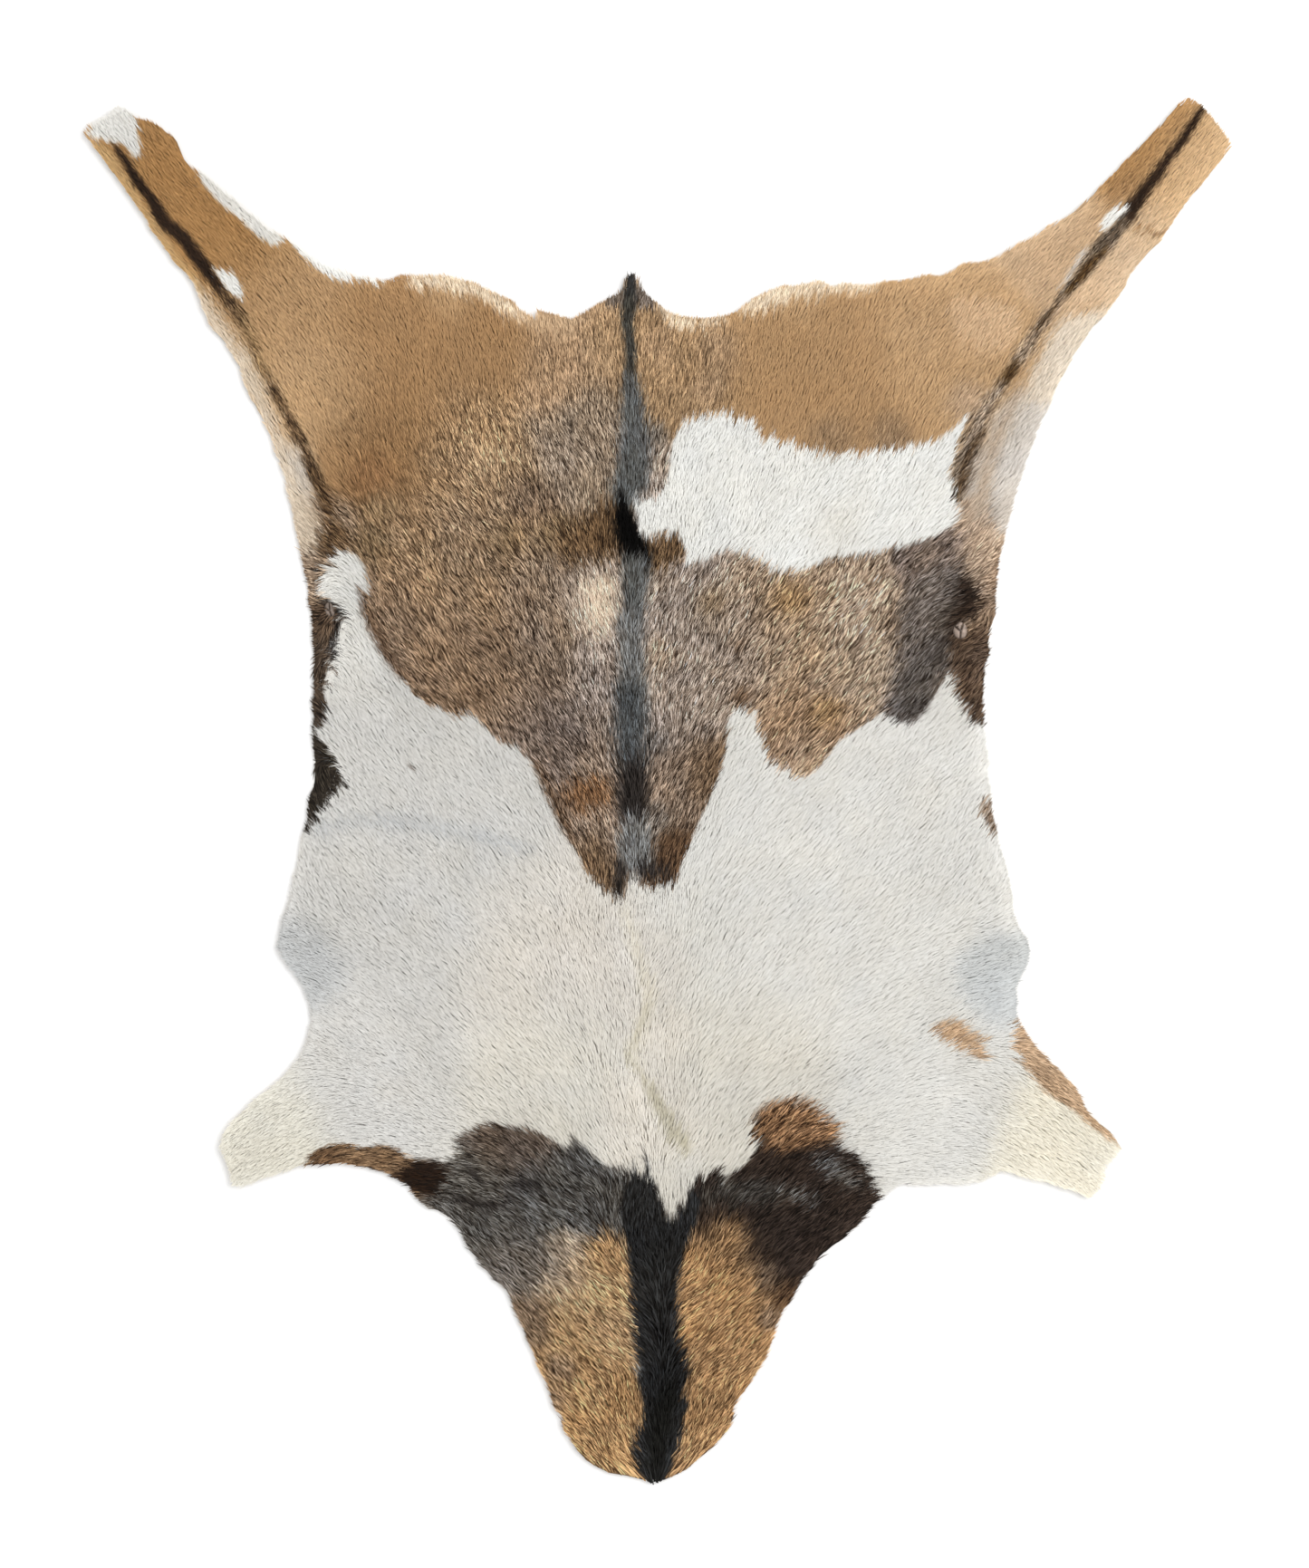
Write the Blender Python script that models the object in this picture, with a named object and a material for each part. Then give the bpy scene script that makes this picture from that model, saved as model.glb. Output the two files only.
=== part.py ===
"""A goatskin with its coat on, laid out flat with the hair side up.

The whole skin is one closed solid. Its underside is the tanned skin's flesh side, which lies on the
floor, and its top is the lie of the coat, so the solid is as deep as the skin and its hair together.
The tail points along +Y and the neck along -Y. Lengths in the tables are millimetres.
"""

import math

import bmesh
import bpy
import numpy as np
from mathutils import Vector, noise
from mathutils.geometry import delaunay_2d_cdt

# The driving size, in metres: from the tips of the hind legs to the end of the neck.
# The edge below was measured at that length, so a change here makes the whole outline larger or smaller.
HIDE_LENGTH = 1.000
MM = 0.001

# Steps of the surface, in millimetres
RIM_STEP = 10.0
COAT_STEP = 16.0
FOLD_STEP = 9.0
CLOSEST = 0.55

# The edge in section, in millimetres
RIM_HEIGHT = 1.2
RIM_RINGS = (4.5, 11.0)
EDGE_ROUNDING = 6.0
CURL_REACH = 32.0
CURL_RINGS = (0.45, 1.08)
NOTCH_SHARE = 0.45
NOTCH_MOST = 1.6

# Gentle lumps all over the coat, in millimetres
LUMPS = (
    # across, height
    (66.0, 1.1),
    (27.0, 0.5),
)

# The edge, clockwise seen from above, one row for each bend. The columns are
# x_mm: to the right of the middle
# y_mm: from the middle towards the tail
# lock_mm: how far the hair stands out past the cut skin
# lift_mm: how high the skin curls off the floor
LEFT_HIND_LEG = (
    (-412, 472, 1.5, 3.0),
    (-408, 479, 2.0, 3.0),
    (-396, 486, 2.5, 3.0),
    (-389, 495, 4.0, 3.0),
    (-381, 492, 3.0, 3.5),
    (-374, 486, 2.0, 3.5),
    (-365, 484, 2.0, 3.5),
    (-344, 469, 2.0, 3.0),
    (-339, 456, 1.5, 3.0),
    (-317, 437, 2.0, 3.5),
    (-295, 418, 2.5, 4.0),
    (-277, 403, 2.0, 4.0),
    (-267, 398, 2.5, 3.5),
    (-251, 386, 2.5, 3.0),
    (-230, 375, 2.0, 2.5),
)
LEFT_RUMP = (
    (-202, 368, 2.0, 2.0),
    (-175, 371, 3.0, 2.0),
    (-151, 371, 3.0, 2.0),
    (-125, 364, 3.0, 2.0),
    (-112, 358, 3.0, 1.5),
    (-98, 348, 3.0, 1.5),
    (-87, 340, 2.0, 1.5),
    (-89, 349, 2.5, 2.0),
    (-72, 344, 3.0, 1.5),
    (-62, 341, 3.0, 1.0),
    (-50, 347, 4.0, 1.0),
)
TAIL = (
    (-36, 355, 6.0, 1.0),
    (-25, 361, 9.0, 1.0),
    (-22, 369, 11.0, 1.0),
    (-19, 378, 14.0, 1.0),
    (-16, 370, 11.0, 1.0),
    (-12, 362, 9.0, 1.0),
    (1, 352, 6.0, 1.0),
)
RIGHT_RUMP = (
    (15, 344, 4.0, 1.0),
    (37, 342, 4.0, 1.0),
    (49, 344, 4.0, 1.0),
    (82, 362, 5.0, 1.5),
    (108, 366, 5.0, 1.5),
    (144, 365, 4.0, 1.5),
    (175, 368, 3.0, 1.5),
    (212, 375, 3.0, 2.0),
    (221, 381, 3.0, 2.0),
    (237, 382, 3.0, 2.5),
    (263, 396, 2.5, 3.0),
)
RIGHT_HIND_LEG = (
    (302, 420, 2.0, 3.0),
    (322, 440, 2.0, 3.0),
    (335, 454, 2.0, 3.0),
    (361, 479, 1.5, 3.0),
    (373, 494, 1.5, 3.5),
    (381, 500, 1.5, 3.5),
    (398, 487, 2.0, 3.5),
    (406, 477, 2.0, 3.5),
    (413, 463, 1.5, 3.0),
    (408, 456, 1.5, 3.0),
    (395, 440, 1.5, 3.0),
    (378, 419, 2.0, 2.5),
    (361, 394, 2.5, 2.5),
    (343, 375, 2.0, 2.0),
    (330, 353, 1.5, 2.0),
    (302, 317, 1.5, 1.5),
)
RIGHT_FLANK = (
    (271, 252, 1.5, 1.0),
    (251, 190, 1.5, 0.5),
    (245, 150, 2.0, 0.0),
    (244, 130, 2.5, 0.0),
    (236, 91, 3.0, 0.0),
    (235, 55, 2.5, 0.5),
    (242, -16, 2.0, 0.5),
    (254, -64, 2.5, 1.0),
    (257, -86, 2.5, 1.0),
    (269, -116, 3.0, 2.0),
    (259, -141, 2.5, 1.5),
)
RIGHT_FORELEG = (
    (262, -166, 2.0, 1.5),
    (275, -185, 1.5, 2.0),
    (298, -208, 2.0, 2.5),
    (310, -229, 2.5, 3.0),
    (334, -256, 3.0, 3.5),
    (320, -270, 2.0, 3.0),
    (321, -277, 2.0, 3.0),
    (312, -294, 2.5, 3.0),
    (298, -287, 2.0, 2.5),
    (263, -278, 2.0, 2.0),
    (249, -273, 2.0, 1.5),
    (234, -280, 3.0, 1.5),
    (212, -283, 3.0, 1.0),
    (175, -285, 4.0, 1.0),
)
RIGHT_SHOULDER = (
    (153, -302, 8.0, 1.0),
    (138, -319, 5.0, 0.5),
    (110, -344, 4.0, 0.5),
    (86, -384, 3.0, 1.0),
    (81, -401, 3.0, 1.0),
    (68, -426, 3.0, 1.5),
    (56, -441, 3.0, 1.5),
    (50, -462, 3.0, 1.5),
)
NECK = (
    (36, -477, 3.0, 1.5),
    (14, -492, 4.0, 1.5),
    (-2, -500, 5.0, 1.0),
    (-22, -493, 4.0, 1.0),
    (-46, -486, 4.0, 1.5),
    (-63, -466, 3.0, 1.5),
    (-78, -433, 3.0, 1.5),
)
LEFT_SHOULDER = (
    (-99, -382, 2.5, 1.0),
    (-111, -359, 3.0, 1.0),
    (-127, -342, 3.5, 0.5),
    (-151, -308, 4.0, 0.5),
    (-166, -300, 3.0, 0.5),
    (-181, -283, 4.0, 0.5),
)
LEFT_FORELEG = (
    (-205, -272, 3.0, 1.0),
    (-232, -268, 2.5, 1.5),
    (-254, -269, 2.0, 2.0),
    (-277, -277, 2.0, 2.5),
    (-303, -285, 2.0, 3.0),
    (-307, -283, 2.0, 3.0),
    (-308, -275, 2.0, 3.0),
    (-316, -255, 2.0, 3.5),
    (-310, -241, 2.5, 3.0),
    (-291, -221, 2.5, 2.5),
    (-266, -199, 2.0, 2.0),
    (-254, -179, 2.0, 1.5),
    (-250, -165, 1.5, 1.0),
    (-256, -141, 2.0, 1.0),
)
LEFT_FLANK = (
    (-275, -112, 2.5, 2.0),
    (-267, -79, 2.0, 1.0),
    (-259, -44, 2.5, 0.5),
    (-252, -10, 2.0, 0.5),
    (-248, 16, 2.0, 0.0),
    (-249, 45, 2.0, 0.0),
    (-248, 71, 2.0, 0.0),
    (-250, 128, 1.5, 0.0),
    (-258, 176, 1.5, 0.5),
    (-271, 231, 1.5, 1.0),
    (-283, 263, 1.5, 1.0),
    (-297, 289, 1.5, 1.5),
)
LEFT_HOCK = (
    (-302, 306, 1.5, 1.5),
    (-325, 340, 1.5, 2.0),
    (-333, 362, 1.5, 2.5),
    (-353, 387, 1.5, 2.5),
    (-375, 420, 1.5, 3.0),
    (-405, 462, 1.5, 3.0),
)
EDGE = (
    LEFT_HIND_LEG + LEFT_RUMP + TAIL + RIGHT_RUMP + RIGHT_HIND_LEG + RIGHT_FLANK + RIGHT_FORELEG
    + RIGHT_SHOULDER + NECK + LEFT_SHOULDER + LEFT_FORELEG + LEFT_FLANK + LEFT_HOCK
)

# How deep skin and coat lie together in each part of the hide. The columns are
# x_mm, y_mm: the middle of that part
# reach_mm: how far it has its say
# depth_mm: the depth there
DEPTHS = (
    (-340, 430, 75, 3.6),
    (-270, 350, 60, 4.2),
    (345, 435, 75, 3.6),
    (275, 350, 60, 4.2),
    (-150, 300, 90, 5.4),
    (150, 300, 90, 5.6),
    (-20, 300, 60, 6.2),
    (-170, 150, 110, 5.6),
    (-20, 80, 100, 7.0),
    (170, 120, 110, 5.8),
    (-190, -60, 100, 5.2),
    (-20, -110, 80, 6.8),
    (190, -60, 100, 5.4),
    (-240, -225, 60, 4.2),
    (255, -230, 60, 4.4),
    (-10, -230, 90, 7.6),
    (-20, -400, 90, 8.4),
)

# Folds and lines of longer hair. The columns are
# height_mm: above the coat round it, or below it when negative
# half_width_mm: from the middle of the fold to where it fades
# course: the points that it passes, x_mm and y_mm
FOLDS = {
    "hair line along the back": (1.2, 12, ((-18, 350), (-20, 277), (-23, 186), (-16, 75), (-16, -60))),
    "ruck over the withers": (
        -2.2, 6, ((-21, -75), (-16, -121), (-9, -154), (-17, -190), (-12, -213), (1, -233), (10, -255))
    ),
    "swell left of the ruck": (1.4, 13, ((-34, -110), (-32, -160), (-36, -200), (-26, -240))),
    "swell right of the ruck": (1.6, 11, ((6, -130), (10, -175), (14, -210), (24, -242))),
    "mane": (3.0, 15, ((-16, -271), (-7, -330), (2, -395), (5, -447), (-2, -488))),
    "crease across the left flank": (-1.1, 6, ((-228, -20), (-166, -23), (-108, -24), (-74, -30))),
    "crease across the right flank": (-0.7, 7, ((36, -39), (82, -39), (117, -33))),
    "wrinkle in the right armpit": (0.9, 6, ((199, -131), (222, -111), (241, -105), (256, -112))),
    "dip in the left armpit": (-0.9, 16, ((-262, -112), (-232, -128), (-205, -150))),
    "crease across the right hock": (-0.9, 4, ((331, 398), (344, 406), (359, 403))),
}

# The two teats. The columns are x_mm, y_mm, radius_mm and height_mm
TEATS = (
    (-237, 127, 7.0, 4.0),
    (218.5, 117, 7.0, 4.5),
)
TEAT_RINGS = ((0.0, 1), (0.55, 6), (1.1, 9))

COAT_COLOUR = (0.42, 0.33, 0.25, 1.0)
COAT_ROUGHNESS = 0.75


def through(knots, spacing, closed):
    """A smooth curve through the knots, sampled on each knot and about one spacing apart between them."""
    count = len(knots)
    stretches = count if closed else count - 1
    samples = []
    for i in range(stretches):
        if closed:
            four = [knots[(i + shift) % count] for shift in (-1, 0, 1, 2)]
        else:
            four = [knots[min(max(i + shift, 0), count - 1)] for shift in (-1, 0, 1, 2)]
        p0, p1, p2, p3 = (np.array(knot, float) for knot in four)
        run = np.linalg.norm(p2[:2] - p1[:2])
        before = max(np.linalg.norm(p1[:2] - p0[:2]), 0.5 * run) ** 0.5
        middle = run ** 0.5
        after = max(np.linalg.norm(p3[:2] - p2[:2]), 0.5 * run) ** 0.5
        lead_in = middle * ((p1 - p0) / before - (p2 - p0) / (before + middle)) + (p2 - p1)
        lead_out = middle * ((p3 - p2) / after - (p3 - p1) / (middle + after)) + (p2 - p1)
        steps = max(1, round(run / spacing))
        for step in range(steps):
            t = step / steps
            samples.append(
                (2 * t**3 - 3 * t**2 + 1) * p1
                + (t**3 - 2 * t**2 + t) * lead_in
                + (3 * t**2 - 2 * t**3) * p2
                + (t**3 - t**2) * lead_out
            )
    if not closed:
        samples.append(np.array(knots[-1], float))
    return np.array(samples)


def inward(loop):
    """The unit direction into the hide at each point of a loop that runs clockwise."""
    along = np.roll(loop, -1, axis=0) - np.roll(loop, 1, axis=0)
    along /= np.linalg.norm(along, axis=1)[:, None]
    return np.stack([along[:, 1], -along[:, 0]], axis=1)


def rim_of_hide():
    """The rim's points with their lock and lift, notched between the table's rows like ends of hair."""
    rows = through([tuple(row) for row in EDGE], RIM_STEP, closed=True)
    knots = {(float(row[0]), float(row[1])) for row in EDGE}
    into = inward(rows[:, :2])
    for i, row in enumerate(rows):
        if (round(row[0], 6), round(row[1], 6)) in knots:
            continue
        bite = min(NOTCH_SHARE * row[2], NOTCH_MOST) * math.sin(2.4 * i) * (1.0 + 0.5 * math.sin(0.7 * i))
        row[:2] += into[i] * bite
    return rows


def nearest_on(loop, points, closed=True):
    """Each point's distance to a line, and the stretch of the line and the share of it that are nearest."""
    start = loop if closed else loop[:-1]
    end = np.roll(loop, -1, axis=0) if closed else loop[1:]
    run = end - start
    length = (run**2).sum(axis=1)
    offset = points[:, None, :] - start[None]
    share = np.clip((offset * run).sum(axis=2) / length, 0.0, 1.0)
    gap = np.linalg.norm(offset - share[..., None] * run, axis=2)
    best = gap.argmin(axis=1)
    rows = np.arange(len(points))
    return gap[rows, best], best, share[rows, best]


def inside(loop, points):
    """Which points lie inside the loop, by counting the edges to their right."""
    x, y = points[:, 0, None], points[:, 1, None]
    x0, y0 = loop[:, 0], loop[:, 1]
    x1, y1 = np.roll(x0, -1), np.roll(y0, -1)
    spans = (y0 > y) != (y1 > y)
    rise = np.where(y1 == y0, 1.0, y1 - y0)
    crossing = x0 + (y - y0) * (x1 - x0) / rise
    return (spans & (x < crossing)).sum(axis=1) % 2 == 1


def keep_apart(groups):
    """Goes through groups of (points, gap) and keeps each point that stands its gap away from those kept."""
    kept = np.empty((0, 2))
    for points, gap in groups:
        for point in points:
            if len(kept) == 0 or np.linalg.norm(kept - point, axis=1).min() >= gap:
                kept = np.vstack([kept, point])
    return kept


def staggered_grid(rim, step):
    """Points over the rim's box in rows, every second row shifted by half a step."""
    half_width, half_length = np.abs(rim).max(axis=0)
    row_step = step * math.sqrt(3) / 2
    rows = int(half_length / row_step)
    columns = int(half_width / step)
    return np.array([
        ((column + 0.5 * (row % 2)) * step, row * row_step)
        for row in range(-rows, rows + 1)
        for column in range(-columns, columns + 1)
    ])


def well_inside(rim, points, margin):
    """The points that lie inside the rim and at least the margin from it."""
    points = points[inside(rim, points)]
    return points[nearest_on(rim, points)[0] >= margin]


def smooth_step(share):
    share = np.clip(share, 0.0, 1.0)
    return share * share * (3.0 - 2.0 * share)


def rim_values(rim_rows, points):
    """Distance to the rim, and the rim's lock and lift beside each point."""
    gap, stretch, share = nearest_on(rim_rows[:, :2], points)
    here, following = rim_rows[stretch, 2:], rim_rows[(stretch + 1) % len(rim_rows), 2:]
    lock_and_lift = here + share[:, None] * (following - here)
    return gap, lock_and_lift[:, 0], lock_and_lift[:, 1]


def underside_height(rim_rows, points):
    """Flat on the floor, curled up near the edge, with the hair's ends a little above the skin's cut edge."""
    gap, lock, lift = rim_values(rim_rows, points)
    curl = np.maximum(lift, 0.0) * (1.0 - smooth_step(gap / CURL_REACH))
    overhang = RIM_HEIGHT * (1.0 - np.clip(gap / lock, 0.0, 1.0))
    return curl + overhang


def coat_depth(points):
    """The depth of skin and coat, blended between the table's rows."""
    table = np.array(DEPTHS, float)
    gap = np.linalg.norm(points[:, None, :] - table[None, :, :2], axis=2)
    say = np.exp(-((gap / table[:, 2]) ** 2)) + 1e-6
    return (say * table[:, 3]).sum(axis=1) / say.sum(axis=1)


def folds_height(points):
    """What the folds and lines of longer hair add, fading at their ends."""
    total = np.zeros(len(points))
    for height, half_width, course in FOLDS.values():
        line = through(list(course), FOLD_STEP, closed=False)
        gap, stretch, share = nearest_on(line, points, closed=False)
        along = (stretch + share) / (len(line) - 1)
        fade = smooth_step(6.0 * along) * smooth_step(6.0 * (1.0 - along))
        total += height * (0.35 + 0.65 * fade) * np.exp(-((gap / half_width) ** 2))
    return total


def teats_height(points):
    """Two small domes."""
    total = np.zeros(len(points))
    for x, y, radius, height in TEATS:
        gap = np.linalg.norm(points - np.array([x, y]), axis=1) / radius
        total += height * np.clip(1.0 - gap**2, 0.0, 1.0) ** 0.75
    return total


def lumps_height(points):
    """Gentle lumps that are the same on every run."""
    total = np.zeros(len(points))
    for across, height in LUMPS:
        total += [height * noise.noise(Vector((x / across, y / across, across))) for x, y in points]
    return total


def top_height(rim_rows, points):
    """The top of the coat above the floor."""
    gap = rim_values(rim_rows, points)[0]
    body = coat_depth(points) + folds_height(points) + lumps_height(points)
    rounded = 1.0 - np.exp(-gap / EDGE_ROUNDING)
    return underside_height(rim_rows, points) + body * rounded + teats_height(points)


def teat_points():
    """A few rings of corners on and round each teat."""
    points = []
    for x, y, radius, _ in TEATS:
        for reach, count in TEAT_RINGS:
            for k in range(count):
                turn = 2 * math.pi * k / count
                points.append((x + reach * radius * math.cos(turn), y + reach * radius * math.sin(turn)))
    return np.array(points)


def top_points(rim):
    """Where the top surface has its corners: teats, rings inside the rim, folds and an even spread."""
    groups = [(teat_points(), CLOSEST * TEATS[0][2] * TEAT_RINGS[1][0])]
    into = inward(rim)
    for depth in RIM_RINGS:
        ring = well_inside(rim, rim + into * depth, 0.9 * depth)
        groups.append((ring, CLOSEST * RIM_STEP))
    for _, half_width, course in FOLDS.values():
        line = through(list(course), FOLD_STEP, closed=False)
        aside = inward(line)
        for side in (0.0, 1.0, -1.0):
            beside = (line + side * half_width * aside)[1:-1]
            beside = well_inside(rim, beside, RIM_RINGS[-1])
            groups.append((beside, CLOSEST * FOLD_STEP))
    spread = well_inside(rim, staggered_grid(rim, COAT_STEP), RIM_RINGS[-1] + 0.3 * COAT_STEP)
    groups.append((spread, CLOSEST * COAT_STEP))
    return keep_apart(groups)


def underside_points(rim_rows):
    """Where the underside has its corners: along the skin's cut edge, in its curl and where that ends."""
    rim = rim_rows[:, :2]
    into = inward(rim)
    cut_edge = rim + into * rim_rows[:, 2, None]
    gap = nearest_on(rim, cut_edge)[0]
    cut_edge = cut_edge[inside(rim, cut_edge) & (gap >= 0.9 * rim_rows[:, 2])]
    groups = [(cut_edge, 3.0)]
    for share in CURL_RINGS:
        reach = share * CURL_REACH
        ring = well_inside(rim, rim + into * reach, 0.95 * reach)
        groups.append((ring, CLOSEST * reach))
    return keep_apart(groups)


def triangles(rim, points):
    """Triangles over the rim's points and then the inner points, all facing up."""
    count = len(rim)
    corners = [Vector((float(x), float(y))) for x, y in np.vstack([rim, points])]
    border = [(i, (i + 1) % count) for i in range(count)]
    _, _, faces, sources, _, _ = delaunay_2d_cdt(corners, border, [], 1, 1e-4)
    return [tuple(sources[corner][0] for corner in face) for face in faces]


def fill_tips(rim, points):
    """Adds a corner in each triangle that spans rim corners alone, or it would close the tip with no depth."""
    tips = [face for face in triangles(rim, points) if max(face) < len(rim)]
    return np.vstack([points] + [rim[list(face)].mean(axis=0) for face in tips])


def corners_at(shape, points, heights, scale):
    """New corners of the solid, from millimetres on the table's drawing to metres."""
    return [
        shape.verts.new((x * scale, y * scale, height * MM))
        for (x, y), height in zip(points, heights)
    ]


def surface(shape, corners, faces, upward):
    """Adds one of the solid's two surfaces, which share the rim's corners."""
    for face in faces:
        order = face if upward else tuple(reversed(face))
        shape.faces.new([corners[i] for i in order])


def hide_material():
    material = bpy.data.materials.new("goat coat")
    material.use_nodes = True
    shader = material.node_tree.nodes["Principled BSDF"]
    shader.inputs["Base Color"].default_value = COAT_COLOUR
    shader.inputs["Roughness"].default_value = COAT_ROUGHNESS
    shader.inputs["Metallic"].default_value = 0.0
    return material


def make_hide(collection):
    rim_rows = rim_of_hide()
    rim = rim_rows[:, :2]
    low, high = rim.min(axis=0), rim.max(axis=0)
    scale = HIDE_LENGTH / (high[1] - low[1])
    upper = fill_tips(rim, top_points(rim))
    lower = underside_points(rim_rows)

    shape = bmesh.new()
    rim_corners = corners_at(shape, rim, underside_height(rim_rows, rim), scale)
    upper_corners = corners_at(shape, upper, top_height(rim_rows, upper), scale)
    lower_corners = corners_at(shape, lower, underside_height(rim_rows, lower), scale)
    surface(shape, rim_corners + upper_corners, triangles(rim, upper), upward=True)
    surface(shape, rim_corners + lower_corners, triangles(rim, lower), upward=False)
    middle = (low + high) / 2 * scale
    bmesh.ops.translate(shape, verts=shape.verts, vec=(-middle[0], -middle[1], 0.0))

    mesh = bpy.data.meshes.new("hide")
    shape.to_mesh(mesh)
    shape.free()
    mesh.shade_smooth()
    mesh.set_sharp_from_angle(angle=math.radians(50))
    mesh.materials.append(hide_material())
    hide = bpy.data.objects.new("hide", mesh)
    collection.objects.link(hide)
    return hide


def main():
    for obj in list(bpy.data.objects):
        bpy.data.objects.remove(obj)
    collection = bpy.data.collections.new("goatskin")
    bpy.context.scene.collection.children.link(collection)
    make_hide(collection)


main()
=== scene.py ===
"""The looks of the goatskin: its tanned skin, its coat of hair, its two teats and the stage it lies on."""

import math

import bpy
import numpy as np
from bpy.props import FloatProperty, FloatVectorProperty, IntProperty, PointerProperty
from bpy.types import Operator, Panel, PropertyGroup
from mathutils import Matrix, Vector
from mathutils.bvhtree import BVHTree
from mathutils.geometry import delaunay_2d_cdt
from mathutils.kdtree import KDTree


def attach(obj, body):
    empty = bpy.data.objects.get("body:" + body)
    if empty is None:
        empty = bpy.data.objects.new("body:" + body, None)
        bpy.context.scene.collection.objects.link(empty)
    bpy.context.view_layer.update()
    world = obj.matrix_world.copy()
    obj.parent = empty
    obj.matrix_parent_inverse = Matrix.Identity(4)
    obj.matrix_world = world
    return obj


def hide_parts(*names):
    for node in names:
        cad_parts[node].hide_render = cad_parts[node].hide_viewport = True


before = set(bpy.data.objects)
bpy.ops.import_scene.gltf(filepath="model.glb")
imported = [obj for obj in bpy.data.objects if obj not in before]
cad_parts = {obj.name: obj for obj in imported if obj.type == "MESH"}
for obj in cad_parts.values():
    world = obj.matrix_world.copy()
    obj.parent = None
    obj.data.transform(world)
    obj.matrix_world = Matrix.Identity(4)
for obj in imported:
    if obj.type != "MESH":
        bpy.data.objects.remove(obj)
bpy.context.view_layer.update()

bl_info = {
    "name": "Goatskin",
    "version": (1, 0, 0),
    "blender": (4, 5, 0),
    "location": "View3D > Sidebar > Goatskin",
    "description": "Dresses a goatskin laid out flat with its hair side up",
    "category": "Object",
}

MM = 0.001
NODE = "hide"
BODY = "root"

# What the photograph takes in: its height, and where its middle lies on the hide, in metres
VIEW_HEIGHT = 1.1291
VIEW_MIDDLE = (-0.0025, 0.0057)

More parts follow.
